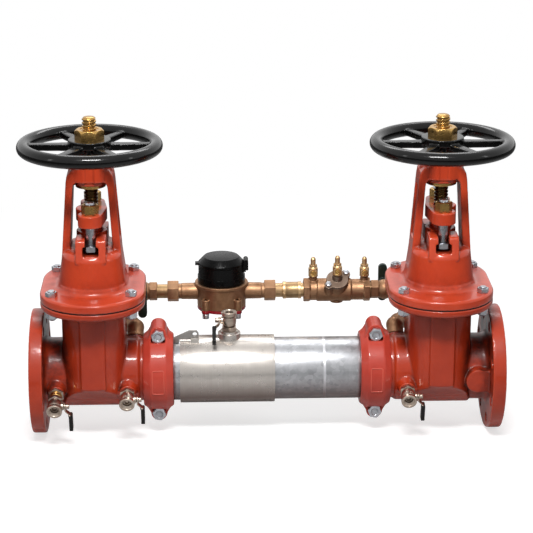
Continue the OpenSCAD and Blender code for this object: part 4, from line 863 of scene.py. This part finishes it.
def stand_tree() -> bpy.types.NodeTree:
    """Returns the tree that stands a pattern object on every point of a carrier, aimed and turned."""
    made = bpy.data.node_groups.get("stand_on_points")
    if made is not None:
        return made
    tree, wires, entry = new_tree("stand_on_points", (
        ("Pattern", "NodeSocketObject", None), ("Material", "NodeSocketMaterial", None),
        ("Spread of Turn", "NodeSocketFloat", 0.0), ("Seed", "NodeSocketInt", 7)))
    aim = wires.add("GeometryNodeInputNamedAttribute", {"Name": "aim"}, data_type="FLOAT_VECTOR").outputs[0]
    random = wires.add("FunctionNodeRandomValue", {"Seed": entry["Seed"]}, data_type="FLOAT")
    least, most = [s for s in random.inputs if s.type == "VALUE"][:2]
    wires.feed(least, 0.0)
    wires.feed(most, entry["Spread of Turn"])
    drawn = next(s for s in random.outputs if s.type == "VALUE")
    turn = wires.add("ShaderNodeCombineXYZ", {2: drawn}).outputs[0]
    base = wires.add("FunctionNodeEulerToRotation", {0: turn}).outputs[0]
    stand = wires.add("FunctionNodeAlignRotationToVector", axis="Z")
    wires.feed(stand.inputs["Vector"], aim)
    about = wires.add("FunctionNodeRotateRotation", {0: stand.outputs[0], 1: base}, rotation_space="LOCAL")
    pattern = wires.add("GeometryNodeObjectInfo", {"Object": entry["Pattern"]})
    points = wires.add("GeometryNodeMeshToPoints", {"Mesh": entry["Geometry"]}).outputs[0]
    copies = wires.add("GeometryNodeInstanceOnPoints", {
        "Points": points, "Instance": pattern.outputs["Geometry"], "Rotation": about.outputs[0]}).outputs[0]
    close_tree(wires, copies, entry["Material"])
    return tree


def thread_tree() -> bpy.types.NodeTree:
    """Returns the tree that makes a bar with a single-start trapezoid thread, closed at both ends."""
    made = bpy.data.node_groups.get("threaded_bar")
    if made is not None:
        return made
    tree, wires, entry = new_tree("threaded_bar", (
        ("Material", "NodeSocketMaterial", None), ("Around", "NodeSocketInt", 49),
        ("Rows", "NodeSocketInt", 600), ("Length", "NodeSocketFloat", 0.4),
        ("Crest", "NodeSocketFloat", 0.0127), ("Root", "NodeSocketFloat", 0.0108),
        ("Lead", "NodeSocketFloat", 0.00635), ("Thread From", "NodeSocketFloat", 0.2),
        ("Chamfer", "NodeSocketFloat", 0.003), ("Foot", "NodeSocketVector", None)))
    grid = wires.add("GeometryNodeMeshGrid", {"Size X": 1.0, "Size Y": 1.0, "Vertices X": entry["Around"],
                                              "Vertices Y": entry["Rows"]}).outputs[0]
    axes = wires.add("ShaderNodeSeparateXYZ", {0: wires.add("GeometryNodeInputPosition").outputs[0]})
    angle = wires.math("MULTIPLY", wires.math("ADD", axes.outputs[0], 0.5), 2 * math.pi)
    last = wires.math("SUBTRACT", entry["Rows"], 1.0)
    row = wires.math("ROUND", wires.math("MULTIPLY", wires.math("ADD", axes.outputs[1], 0.5), last))
    share = wires.math("DIVIDE", wires.math("SUBTRACT", row, 1.0), wires.math("SUBTRACT", last, 2.0),
                       clamp=True)
    height = wires.math("MULTIPLY", share, entry["Length"])
    turns = wires.math("SUBTRACT", wires.math("DIVIDE", height, entry["Lead"]),
                       wires.math("DIVIDE", angle, 2 * math.pi))
    part = wires.math("FRACT", wires.math("ADD", turns, 1000.0))
    wave = wires.math("ABSOLUTE", wires.math("SUBTRACT", part, 0.5))
    tooth = wires.ramp(wave, 0.19, 0.31)
    cut = wires.ramp(height, entry["Thread From"], wires.math("ADD", entry["Thread From"], entry["Lead"]))
    depth = wires.math("MULTIPLY", wires.math("MULTIPLY", tooth, cut),
                       wires.math("SUBTRACT", entry["Crest"], entry["Root"]))
    radius = wires.math("SUBTRACT", entry["Crest"], depth)
    tip = wires.math("ADD", wires.math("SUBTRACT", entry["Crest"], entry["Chamfer"]),
                     wires.math("SUBTRACT", entry["Length"], height))
    radius = wires.math("MINIMUM", radius, tip)
    ends = wires.math("MULTIPLY", wires.math("GREATER_THAN", row, 0.5),
                      wires.math("LESS_THAN", row, wires.math("SUBTRACT", last, 0.5)))
    radius = wires.math("MULTIPLY", radius, ends)
    across, back = (wires.math("MULTIPLY", radius, wires.math(wave, angle)) for wave in ("COSINE", "SINE"))
    spot = wires.add("ShaderNodeCombineXYZ", {0: across, 1: back, 2: height}).outputs[0]
    spot = wires.add("ShaderNodeVectorMath", {0: spot, 1: entry["Foot"]}, operation="ADD").outputs[0]
    bar = wires.add("GeometryNodeSetPosition", {"Geometry": grid, "Position": spot}).outputs[0]
    closed = wires.add("GeometryNodeMergeByDistance", {"Geometry": bar, "Distance": 1e-6}).outputs[0]
    close_tree(wires, closed, entry["Material"])
    return tree


def grow(tree: bpy.types.NodeTree, carrier: bpy.types.Object, values: dict[str, object]) -> None:
    """Runs a geometry tree on a carrier and keeps the result as its plain mesh.

    Args:
        tree: The tree.
        carrier: The object whose mesh feeds it.
        values: A value for each named input.
    """
    modifier = carrier.modifiers.new("made", "NODES")
    modifier.node_group = tree
    places = {s.name: s.identifier for s in tree.interface.items_tree
              if s.item_type == "SOCKET" and s.in_out == "INPUT"}
    for label, value in values.items():
        modifier[places[label]] = value
    settle(carrier)


@dataclass(frozen=True)
class Stand:
    """One place for a repeated piece: a point in millimetres and the way that its Z axis aims."""

    point: Point
    aim: Point = (0.0, 0.0, 1.0)


def stand(name: str, node: str, pattern: bpy.types.Mesh, stands: Sequence[Stand], finish: Finish,
          spread: float = 0.0, seed: int = 7) -> None:
    """Sets a pattern mesh at a number of places, as one dressed piece.

    Args:
        name: The piece's name.
        node: The CAD node that it replaces.
        pattern: The mesh that is repeated.
        stands: Its places.
        finish: The finish of every copy.
        spread: Largest turn in radians about each copy's own axis.
        seed: Seed of those turns.
    """
    mesh = bpy.data.meshes.new(name)
    mesh.from_pydata([tuple(c * MM for c in s.point) for s in stands], [], [])
    aims = mesh.attributes.new("aim", "FLOAT_VECTOR", "POINT")
    for index, place in enumerate(stands):
        aims.data[index].vector = place.aim
    carrier = show(mesh, name)
    source = show(pattern, name + "_pattern")
    grow(stand_tree(), carrier, {"Pattern": source, "Material": finish.material(),
                                 "Spread of Turn": spread, "Seed": seed})
    bpy.data.objects.remove(source)
    dress(carrier, finish, [node])


def put(mesh: bpy.types.Mesh, matrix: Matrix) -> bpy.types.Mesh:
    """Moves a mesh by a matrix whose shift is in metres, and returns it."""
    mesh.transform(matrix)
    return mesh


def shift(x: float, y: float, z: float) -> Matrix:
    """Returns a shift given in millimetres."""
    return Matrix.Translation((x * MM, y * MM, z * MM))


def spin(axis: str, degrees: float) -> Matrix:
    """Returns a turn about an axis."""
    return Matrix.Rotation(math.radians(degrees), 4, axis)


def outline(half_x: float, half_y: float, corner: float, steps: int = 8) -> list[Flat]:
    """Lists points round a rectangle with rounded corners, and more of them along its upright sides.

    Args:
        half_x: Half its width.
        half_y: Half its height.
        corner: Radius of its corners.
        steps: Parts that each upright side is cut into.

    Returns:
        The points, anticlockwise.
    """
    corner = max(corner, 0.3)
    points = []
    for sign_x, sign_y, start in ((1, 1, 0), (-1, 1, 90), (-1, -1, 180), (1, -1, 270)):
        for step in range(5):
            angle = math.radians(start + 22.5 * step)
            points.append((sign_x * (half_x - corner) + corner * math.cos(angle),
                           sign_y * (half_y - corner) + corner * math.sin(angle)))
        if sign_x == sign_y * -1:
            rise = 2 * (half_y - corner) / steps
            points += [(sign_x * half_x, sign_y * (half_y - corner - rise * step))
                       for step in range(1, steps)]
    return points


def joined(name: str, meshes: Sequence[bpy.types.Mesh]) -> bpy.types.Mesh:
    """Joins closed meshes into one.

    Args:
        name: The new mesh's name.
        meshes: The meshes, which are removed.

    Returns:
        The joined mesh.
    """
    work = bmesh.new()
    for mesh in meshes:
        work.from_mesh(mesh)
        bpy.data.meshes.remove(mesh)
    return baked(work, name)


def keep_nodes(finish: Finish, *nodes: str) -> None:
    """Gives CAD nodes that stay shown their material."""
    for node in nodes:
        data = frame["nodes"][node].data
        data.materials.clear()
        data.materials.append(finish.material())


@dataclass(frozen=True)
class GateValve:
    """One rising-stem gate valve with its flange, yoke, stem and handwheel. Lengths are millimetres."""

    side: Side
    stem_foot: float = 60.0
    stem_top: float = 477.0
    stem_r: float = 12.7
    root_r: float = 10.7
    lead: float = 6.35
    thread_from: float = 268.0
    tip_chamfer: float = 3.0
    body: Casting = Casting(1.7, 8, 148000)
    bonnet: Casting = Casting(1.5, 7, 128000)
    wheel: Casting = Casting(1.3, 8, 72000)
    nut: Machining = Machining(0.7, 25.0)

    def build(self) -> None:
        """Makes and dresses every piece of the valve."""
        side = self.side.value
        self.body.place(f"{side}_valve_body", f"{side}_valve_casting", RED)
        self.bonnet.place(f"{side}_bonnet", f"{side}_yoke_casting", LIT_BONNET_RED)
        self.wheel.place(f"{side}_handwheel", f"{side}_wheel_casting", WHEEL_BLACK)
        self.stem()
        self.nut.place(f"{side}_stem_nut", f"{side}_yoke_nut", BRASS)
        keep_nodes(WEDGE_RUBBER, f"{side}_wedge")

    def stem(self) -> None:
        """Makes the threaded stem by its rule."""
        name = f"{self.side.value}_threaded_stem"
        piece = show(bpy.data.meshes.new(name), name)
        grow(thread_tree(), piece, {
            "Material": STEM.material(), "Around": 41, "Rows": 1000,
            "Length": (self.stem_top - self.stem_foot) * MM, "Crest": self.stem_r * MM,
            "Root": self.root_r * MM, "Lead": self.lead * MM,
            "Thread From": (self.thread_from - self.stem_foot) * MM, "Chamfer": self.tip_chamfer * MM,
            "Foot": (self.side.along(PLACES.stem_x) * MM, 0.0, self.stem_foot * MM)})
        piece.data.shade_smooth()
        piece.data.set_sharp_from_angle(angle=THREAD_CREASE)
        dress(piece, STEM, [f"{self.side.value}_stem"])


@dataclass(frozen=True)
class JointHardware:
    """Bolts, nuts, gland parts and gaskets of both gate valves. Lengths are millimetres."""

    bolt_x: float = 70.6
    bolt_y: float = 75.7
    bolt_r: float = 6.2
    bolt_flats: float = 19.0
    bolt_low: float = 123.6
    nut_low: float = 127.5
    nut_high: float = 138.0
    head_low: float = 168.5
    head_high: float = 177.0
    gland_y: float = 45.0
    gland_flats: float = 27.0
    gland_r: float = 8.75
    tee_low: float = 243.5
    tee_high: float = 254.0
    thread_low: float = 286.0
    eye_top: float = 311.0
    nut_top: float = 329.0
    tip: float = 334.0
    crown: float = 12.4
    bore_gap: float = 0.1
    follower: Casting = Casting(1.1, 5, 70000)

    def build(self) -> None:
        """Makes every fastener of the two valves."""
        stems = [side.along(PLACES.stem_x) for side in Side]
        bolts = [Stand((x + sx * self.bolt_x, sy * self.bolt_y, 0))
                 for x in stems for sx in (-1, 1) for sy in (-1, 1)]
        stand("bonnet_bolt_set", "bonnet_bolts", self.bolt(), bolts, ZINC, math.pi / 3, 11)
        glands = [Stand((x, s * self.gland_y, 0)) for x in stems for s in (-1, 1)]
        stand("gland_bolt_set", "gland_bolts", self.gland_bolt(), glands, ZINC)
        stand("gland_nut_set", "gland_nuts", self.gland_nut(), glands, BRASS)
        self.follower.place("gland_followers", "gland_follower_castings", LIT_BONNET_RED)
        keep_nodes(RUBBER, "bonnet_gaskets", "packing_rings")

    def bolt(self) -> bpy.types.Mesh:
        """Returns one joint bolt with its nut under the plates, from its tip upwards."""
        low, nut, head, top = self.bolt_low, self.nut_low, self.head_low, self.head_high
        bolt = Turning()
        bolt.round((4.2, low), (5.4, low + 1.2))
        bolt.round(*rings_of_thread(self.bolt_r, low + 1.2, nut - 0.3, 1.2, 0.5)[:-1])
        bolt.round((self.bolt_r, nut), (9.0, nut)).hexagon(self.bolt_flats, nut + 0.4, -0.5)
        bolt.hexagon(self.bolt_flats, self.nut_high - 0.6).round((8.8, self.nut_high), (6.3, self.nut_high))
        bolt.round((6.3, head), (9.2, head)).hexagon(self.bolt_flats, head + 0.4)
        bolt.hexagon(self.bolt_flats, top - 0.4, 0.5).round((8.9, top), (6.4, top), (6.4, top + 0.6))
        return bolt.round((self.bolt_r, top + 1.4), (5.2, top + 2.4)).mesh("bonnet_bolt_pattern")

    def gland_bolt(self) -> bpy.types.Mesh:
        """Returns one gland bolt, from its head in the T-slot to its tip above the nut."""
        tee = Turning()
        tee.round((8.0, self.tee_low)).hexagon(self.gland_flats, self.tee_low + 0.1, -0.4)
        tee.hexagon(self.gland_flats, self.tee_high - 0.6).round(
            (12.6, self.tee_high), (self.gland_r, self.tee_high), (self.gland_r, self.thread_low))
        tee.round(*rings_of_thread(self.gland_r, self.thread_low, self.nut_top + 1.0, 2.0, 0.6)[:-1])
        tee.round((8.4, self.nut_top + 1.4), (7.6, self.tip - 1.6), (5.6, self.tip - 0.4), (2.6, self.tip))
        return tee.mesh("gland_bolt_pattern", 30)

    def gland_nut(self) -> bpy.types.Mesh:
        """Returns one gland nut, as a ring with its bore."""
        low, top, bore = self.eye_top, self.nut_top, self.gland_r + self.bore_gap
        nut = Turning()
        nut.round((bore + 1.0, low), (self.crown, low)).hexagon(self.gland_flats, low + 0.5, -0.35)
        nut.hexagon(self.gland_flats, top - 0.4, 0.55)
        nut.round((self.crown, top), (bore + 1.0, top), (bore, top - 1.0), (bore, low + 1.0),
                  (bore + 1.0, low))
        return nut.mesh("gland_nut_pattern", 30)


@dataclass(frozen=True)
class CheckHousing:
    """The tube with its check modules, the sleeve over its window, and the couplings, in millimetres."""

    bolt_z: float = 75.0
    bolt_flats: float = 22.0
    face: float = 26.6
    nut_h: float = 12.0
    crown_r: float = 75.0
    frame_x: float = 10.5
    frame_z: float = 22.5
    frame_corner: float = 2.5
    frame_line: float = 1.3
    frame_lift: float = 0.9
    frame_slope: float = 0.5
    root: float = 1.0
    weld_x: float = 533.0
    weld_width: float = 4.5
    weld_proud: float = 0.05
    weld_slope: float = 0.4
    coupling: Casting = Casting(1.2, 6, 90000)

    def build(self) -> None:
        """Makes and dresses every piece of the housing."""
        for side in Side:
            node = f"{side.value}_coupling"
            self.coupling.place(node, f"{node}_casting", COUPLING_RED)
            self.frame(side)
        self.bolts()
        self.weld()
        Machining(0.4).place("housing_tube", "check_housing_tube", TUBE_ZINC)
        Machining(0.8).place("access_sleeve", "sliding_access_sleeve", SLEEVE_STEEL)
        Machining(0.5).place("lock_plate", "sleeve_lock_plate", PLATE_STEEL)
        keep_nodes(RUBBER, "coupling_gaskets", "sleeve_seals", "first_clapper", "second_clapper")
        Machining(0.5).place("check_modules", "check_module_set", PLATE_STEEL)

    def frame(self, side: Side) -> None:
        """Makes the raised frame that is cast on the front of one coupling.

        Args:
            side: The coupling's side.
        """
        place = side.along(PLACES.coupling_x)
        line, slope = self.frame_line, self.frame_slope
        work = bmesh.new()
        rings = []
        for grown, lift in ((-line, -self.root), (-line + slope, self.frame_lift),
                            (line - slope, self.frame_lift), (line, -self.root)):
            ring = []
            radius = self.crown_r + lift
            for across, up in outline(self.frame_x + grown, self.frame_z + grown, self.frame_corner + grown):
                angle = up / self.crown_r
                ring.append(work.verts.new(((place + across) * MM, -radius * math.cos(angle) * MM,
                                            radius * math.sin(angle) * MM)))
            rings.append(ring)
        for ring, after in zip(rings, rings[1:] + rings[:1]):
            for step, point in enumerate(ring):
                other = (step + 1) % len(ring)
                work.faces.new((point, ring[other], after[other], after[step]))
        bmesh.ops.recalc_face_normals(work, faces=work.faces)
        name = f"{side.value}_coupling_frame"
        dress(show(baked(work, name, None), name), COUPLING_RED, [], "assembly")

    def weld(self) -> None:
        """Makes the weld ring on the bare tube, ground flat so that the sleeve passes over it."""
        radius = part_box("housing_tube")[1][2] / MM
        low, top, half = radius - self.root, radius + self.weld_proud, self.weld_width / 2
        flat = half - self.weld_slope
        ring = Turning(192)
        ring.round((low, -half), (radius, -half), (top, -flat), (top, flat), (radius, half), (low, half),
                   (low, -half))
        name = "tube_weld_ring"
        piece = show(put(ring.mesh(name), shift(self.weld_x, 0, 0) @ spin("Y", 90)), name)
        dress(piece, WELD_STEEL, [], "assembly")

    def bolts(self) -> None:
        """Makes the track bolts of both couplings, from their round heads behind to their nuts in front."""
        low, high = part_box("coupling_bolts")
        tip, head = -low[1] / MM, high[1] / MM
        face, top = self.face, self.face + self.nut_h
        bolt = Turning()
        bolt.round((8.0, -head), (10.2, 0.8 - head), (11.0, 3.2 - head), (11.0, -face), (6.2, -face))
        bolt.round((6.2, face)).round((10.4, face)).hexagon(self.bolt_flats, face + 0.6, -0.4)
        bolt.hexagon(self.bolt_flats, top - 0.5, 0.55).round((9.8, top), (6.8, top), (6.4, top - 0.8))
        bolt.round(*rings_of_thread(6.3, top - 0.4, tip, 1.6, 0.6))
        spots = [Stand((side.along(PLACES.coupling_x), 0, s * self.bolt_z), (0, -1, 0))
                 for side in Side for s in (-1, 1)]
        stand("coupling_bolt_set", "coupling_bolts", bolt.mesh("coupling_bolt_pattern"), spots, ZINC, 0.4, 3)


@dataclass(frozen=True)
class CockPlace:
    """Where one test cock's ball sits, which way it points and how its lever hangs."""

    ball: Point
    out: Point = (0.0, -0.9659, -0.2588)
    hang: Point = (0.0, 0.2588, -0.9659)
    stem_side: float = 1.0
    nipple: float = 0.0

    def matrix(self) -> Matrix:
        """Returns the move from the cock's own frame, Z along its outlet and X along its stem."""
        z_axis = Vector(self.out).normalized()
        x_axis = Vector((self.stem_side, 0.0, 0.0))
        turn = Matrix((x_axis, z_axis.cross(x_axis), z_axis)).transposed().to_4x4()
        return shift(*self.ball) @ turn


@dataclass(frozen=True)
class TestCocks:
    """The four test cocks with their levers, bent clear of the cocks and dipped in vinyl."""

    seat: float = 19.0
    collar_flats: float = 25.4
    nipple_flats: float = 27.0
    barrel: float = 12.4
    band: float = 0.8
    mouth: float = 14.0
    mouth_z: float = 17.0
    outlet: float = 8.9
    bore: float = 4.4
    thread_turns: int = 5
    thread_pitch: float = 1.6
    boss_r: float = 6.9
    grip_from: float = 17.0
    splay: float = 9.5
    bend_from: float = 6.5
    bend_length: float = 14.0
    lever_casting: Casting = Casting(0.55, 4, 60000)
    places: dict[int, CockPlace] = field(default_factory=lambda: {
        1: CockPlace((45.3, -108.184, -28.988), nipple=18.0),
        2: CockPlace((174.3, -90.797, -24.329)),
        3: CockPlace((360.0, 0.0, 93.75), (0.0, 0.0, 1.0), (0.0, -0.8192, -0.5736), -1.0),
        4: CockPlace((682.7, -90.797, -24.329))})

    def build(self) -> None:
        """Makes the cocks and their levers."""
        for number, place in self.places.items():
            self.cock(number, place)
            self.lever(number, place)

    def cock(self, number: int, place: CockPlace) -> None:
        """Makes one cock: collar, hexagon, barrel with its ball, threaded mouth and the boss of the stem.

        Args:
            number: The cock's number.
            place: Its place.
        """
        foot = -self.seat - place.nipple
        belly = self.barrel + self.band
        body = Turning(60)
        body.round((8.4, foot - 9.5), (8.6, foot))
        if place.nipple:
            body.round((12.2, foot)).hexagon(self.nipple_flats, foot + 0.7, -0.4)
            body.hexagon(self.nipple_flats, foot + 5.6, 0.5)
            body.round((12.2, foot + 6.2), (8.8, foot + 6.2), (8.8, -self.seat))
        body.round((11.6, -self.seat)).hexagon(self.collar_flats, -self.seat + 0.7, -0.4)
        body.hexagon(self.collar_flats, -11.6, 0.5)
        body.round((11.6, -11.0), (10.6, -10.6), (10.6, -9.2), (self.barrel, -7.6), (belly, -3.0),
                   (belly, 3.0), (self.barrel, 6.4), (11.4, 7.2), (11.4, 8.6), (self.mouth - 0.8, 9.4),
                   (self.mouth, 10.4), (self.mouth, self.mouth_z - 0.9), (self.mouth - 0.9, self.mouth_z),
                   (self.outlet + 1.3, self.mouth_z))
        for turn in range(self.thread_turns):
            top = self.mouth_z - 1.1 - self.thread_pitch * turn
            body.round((self.outlet + 0.4, top), (self.outlet - 0.7, top - self.thread_pitch / 2))
        body.round((self.outlet, 8.2), (self.bore, 7.9), (self.bore, 5.4))
        boss = Turning(40)
        boss.round((self.boss_r, 8.0), (self.boss_r, 15.2), (6.3, 16.0), (4.6, 16.0), (4.6, 15.0))
        meshes = [put(body.mesh("cock_pattern"), place.matrix()),
                  put(boss.mesh("cock_boss"), place.matrix() @ spin("Y", 90))]
        name = f"test_cock_body_{number}"
        dress(show(joined(name, meshes), name), NICKEL, [f"test_cock_{number}"])
        if place.nipple:
            low, high, bore = foot + 5.0, -self.seat, self.outlet
            ring = Turning()
            ring.round((bore, low), (11.2, low), (11.2, high - 4.0), (10.3, high - 3.0), (10.3, high + 0.4),
                       (bore, high + 0.4), (bore, low))
            name = f"test_cock_nipple_{number}"
            dress(show(put(ring.mesh(name), place.matrix()), name), BRASS, [], "assembly")

    def lever(self, number: int, place: CockPlace) -> None:
        """Makes one lever with its stem and ball; the strip is bent outwards and its far part is dipped.

        Args:
            number: The cock's number.
            place: Its place.
        """
        node = f"cock_lever_{number}"
        piece = self.lever_casting.make(node, f"test_cock_lever_{number}")
        hang = Vector(place.hang)
        middle = Vector(place.ball) * MM
        for point in piece.data.vertices:
            reach = (point.co - middle).dot(hang) / MM
            bend = min(1.0, max(0.0, (reach - self.bend_from) / self.bend_length))
            point.co.x += place.stem_side * self.splay * MM * bend * bend * (3 - 2 * bend)
        piece.data.materials.clear()
        for finish in (NICKEL, GRIP_BLACK):
            piece.data.materials.append(finish.material())
        for face in piece.data.polygons:
            face.material_index = int((face.center - middle).dot(hang) / MM > self.grip_from)
        dress(piece, NICKEL, [node], coated=True)


@dataclass(frozen=True)
class Bypass:
    """The metered bypass: elbows, isolation valves, unions, meter and small double check."""

    elbow: Casting = Casting(limit=60000)
    ball_valve: Casting = Casting(0.8, 5, 70000)
    handle: Casting = Casting(soften=6)
    small_check: Casting = Casting(limit=80000)
    cover: Casting = Casting(0.7, 4)
    bowl: Casting = Casting(limit=90000)

    def build(self) -> None:
        """Makes and dresses every piece of the bypass."""
        for end in ("inlet", "outlet"):
            self.elbow.place(f"{end}_elbows", f"{end}_elbow_castings", BRONZE)
            self.ball_valve.place(f"{end}_isolation_valve", f"{end}_ball_valve", BRONZE)
            self.handle.place(f"{end}_isolation_handle", f"{end}_ball_valve_handle", HANDLE_GREEN)
        Machining(0.6).place("union_nuts", "union_nut_pair", BRONZE)
        Machining(0.5).place("bypass_nipples", "bypass_nipple_set", PALE_BRONZE)
        self.small_check.place("small_check_body", "small_check_casting", BRONZE)
        self.cover.place("small_check_cover", "small_check_cover_casting", COVER_BRONZE)
        keep_nodes(POPPET_GREY, "small_check_poppets")
        Machining(0.4).place("gauge_cocks", "gauge_cock_set", PALE_BRONZE)
        for number in (1, 2, 3):
            Machining(0.3).place(f"gauge_screw_{number}", f"gauge_slotted_screw_{number}", BRASS)
        self.meter()

    def meter(self) -> None:
        """Makes the water meter with its shroud, lid and dial."""
        self.bowl.place("meter_body", "meter_bowl_casting", BRONZE)
        Casting().place("meter_base_plate", "meter_base_casting", CRIMSON)
        Machining(0.5).place("bypass_bolts", "bypass_bolt_set", ZINC)
        Machining(0.8).place("meter_shroud", "meter_shroud_moulding", LID_BLACK)
        Machining(0.8, 25).place("meter_lid", "meter_lid_moulding", LID_BLACK)
        keep_nodes(DIAL_WHITE, "meter_register")
        keep_nodes(HAND_RED, "register_hand")


@dataclass(frozen=True)
class SoftBox:
    """One soft box aimed at the object's middle, in metres and watts."""

    name: str
    place: Point
    size: Flat
    power: float
    aim: Point = (0.43, 0.05, 0.15)

    def build(self) -> None:
        """Hangs the lamp and aims it."""
        data = bpy.data.lights.new(self.name, "AREA")
        data.shape = "RECTANGLE"
        data.size, data.size_y = self.size
        data.energy = self.power
        lamp = show(data, self.name)
        lamp.location = self.place
        lamp.rotation_euler = (Vector(self.aim) - Vector(self.place)).to_track_quat("-Z", "Y").to_euler()


@dataclass(frozen=True)
class Studio:
    """Floor, lamps, world and camera. The camera is in millimetres and degrees, the floor in metres."""

    distance: float = 3500.0
    target: Point = (428.5, 0.0, 150.0)
    azimuth: float = -1.84
    elevation: float = 18.41
    tilt: float = -0.72
    focal_pixels: float = 1919.2
    frame_pixels: float = 533.0
    sensor: float = 36.0
    ambient: float = 0.25
    front_wall: float = 0.8
    back_wall: float = 1.0
    floor_half: float = 14.0
    floor_drop: float = 0.0005
    floor_centre: Flat = (0.43, 0.0)
    floor_fade: Flat = (0.6, 1.6)
    floor_grey: float = 0.5
    floor_seen: float = 0.66
    floor_mirrored: float = 0.1
    boxes: tuple[SoftBox, ...] = (
        SoftBox("key", (0.3, -1.65, 2.45), (1.0, 0.4), 80.0),
        SoftBox("left", (-1.9, -1.1, 1.2), (0.25, 0.9), 2.5),
        SoftBox("right", (2.8, -1.0, 1.2), (0.25, 0.9), 2.5),
        SoftBox("back", (0.5, 1.7, 2.2), (1.8, 0.6), 20.0))

    def build(self) -> None:
        """Sets the scene round the object."""
        self.camera()
        self.world()
        self.floor()
        for box in self.boxes:
            box.build()
        bpy.context.scene.view_settings.view_transform = "Standard"

    def camera(self) -> None:
        """Places the camera as the photograph has it."""
        data = bpy.data.cameras.new("camera")
        data.sensor_width = self.sensor
        data.lens = self.sensor * self.focal_pixels / self.frame_pixels
        data.clip_end = 50.0
        camera = show(data, "camera")
        camera.location = Vector(self.target) * MM - self.ahead(self.elevation) * self.distance * MM
        camera.rotation_euler = self.ahead(self.elevation + self.tilt).to_track_quat("-Z", "Y").to_euler()
        bpy.context.scene.camera = camera

    def ahead(self, fall: float) -> Vector:
        """Returns the direction that looks along the camera's azimuth and falls by an angle in degrees."""
        turn, fall = math.radians(self.azimuth), math.radians(fall)
        return Vector((-math.sin(turn) * math.cos(fall), math.cos(turn) * math.cos(fall), -math.sin(fall)))

    def seen(self, wires: Wires) -> tuple[bpy.types.NodeSocket, bpy.types.NodeSocket]:
        """Tells the kinds of rays apart.

        Args:
            wires: The wires of a material's or world's tree.

        Returns:
            A socket that is 1 for camera and transmission rays, and one that is 1 for glossy rays.
        """
        path = wires.add("ShaderNodeLightPath")
        direct = wires.math("MAXIMUM", path.outputs["Is Camera Ray"], path.outputs["Is Transmission Ray"])
        return direct, path.outputs["Is Glossy Ray"]

    def world(self) -> None:
        """Makes the world white where it is seen, pale in metal, and a plain light elsewhere."""
        world = bpy.data.worlds.new("studio")
        bpy.context.scene.world = world
        wires = blank(world)
        direct, glossy = self.seen(wires)
        way = wires.add("ShaderNodeSeparateXYZ", {0: wires.add("ShaderNodeTexCoord").outputs["Generated"]})
        mirrored = wires.ramp(way.outputs[1], -0.7, 0.5, self.front_wall, self.back_wall)
        strength = wires.math("MULTIPLY_ADD", glossy, wires.math("SUBTRACT", mirrored, self.ambient),
                              self.ambient)
        strength = wires.math("MAXIMUM", strength, direct)
        sky = wires.add("ShaderNodeBackground", {"Color": (1.0, 1.0, 1.0, 1.0), "Strength": strength})
        wires.add("ShaderNodeOutputWorld", {0: sky.outputs[0]})

    def floor(self) -> None:
        """Makes a wide pale floor just under the lowest piece, which keeps its shadow."""
        low, half = CAD_BOX[0][2] - self.floor_drop, self.floor_half
        mesh = bpy.data.meshes.new("floor")
        mesh.from_pydata([(-half, -half, low), (half, -half, low), (half, half, low), (-half, half, low)],
                         [], [(0, 1, 2, 3)])
        floor = show(mesh, "floor")
        material = bpy.data.materials.new("floor")
        wires = blank(material)
        direct, glossy = self.seen(wires)
        place = wires.add("ShaderNodeTexCoord").outputs["Object"]
        away = wires.add("ShaderNodeVectorMath", {0: place, 1: (*self.floor_centre, low)},
                         operation="DISTANCE").outputs["Value"]
        far = wires.ramp(away, *self.floor_fade)
        grey = self.floor_grey
        matt = wires.add("ShaderNodeBsdfDiffuse",
                         {"Color": wires.blend(far, (grey, grey, grey, 1.0), (0.0, 0.0, 0.0, 1.0))})
        white = wires.ramp(far, 0.0, 1.0, self.floor_seen, 1.0)
        glow = wires.math("MAXIMUM", wires.math("MULTIPLY", direct, white),
                          wires.math("MULTIPLY", glossy, self.floor_mirrored))
        lit = wires.add("ShaderNodeEmission", {"Strength": glow})
        both = wires.add("ShaderNodeAddShader", {0: matt.outputs[0], 1: lit.outputs[0]})
        wires.add("ShaderNodeOutputMaterial", {0: both.outputs[0]})
        mesh.materials.append(material)


def main() -> None:
    """Builds the sub-assemblies in order and notes the sizes."""
    logging.basicConfig(level=logging.INFO, format="%(name)s %(message)s")
    Studio().build()
    for side in Side:
        GateValve(side).build()
    for assembly in (JointHardware(), CheckHousing(), TestCocks(), Bypass()):
        assembly.build()


if __name__ == "__main__":
    main()
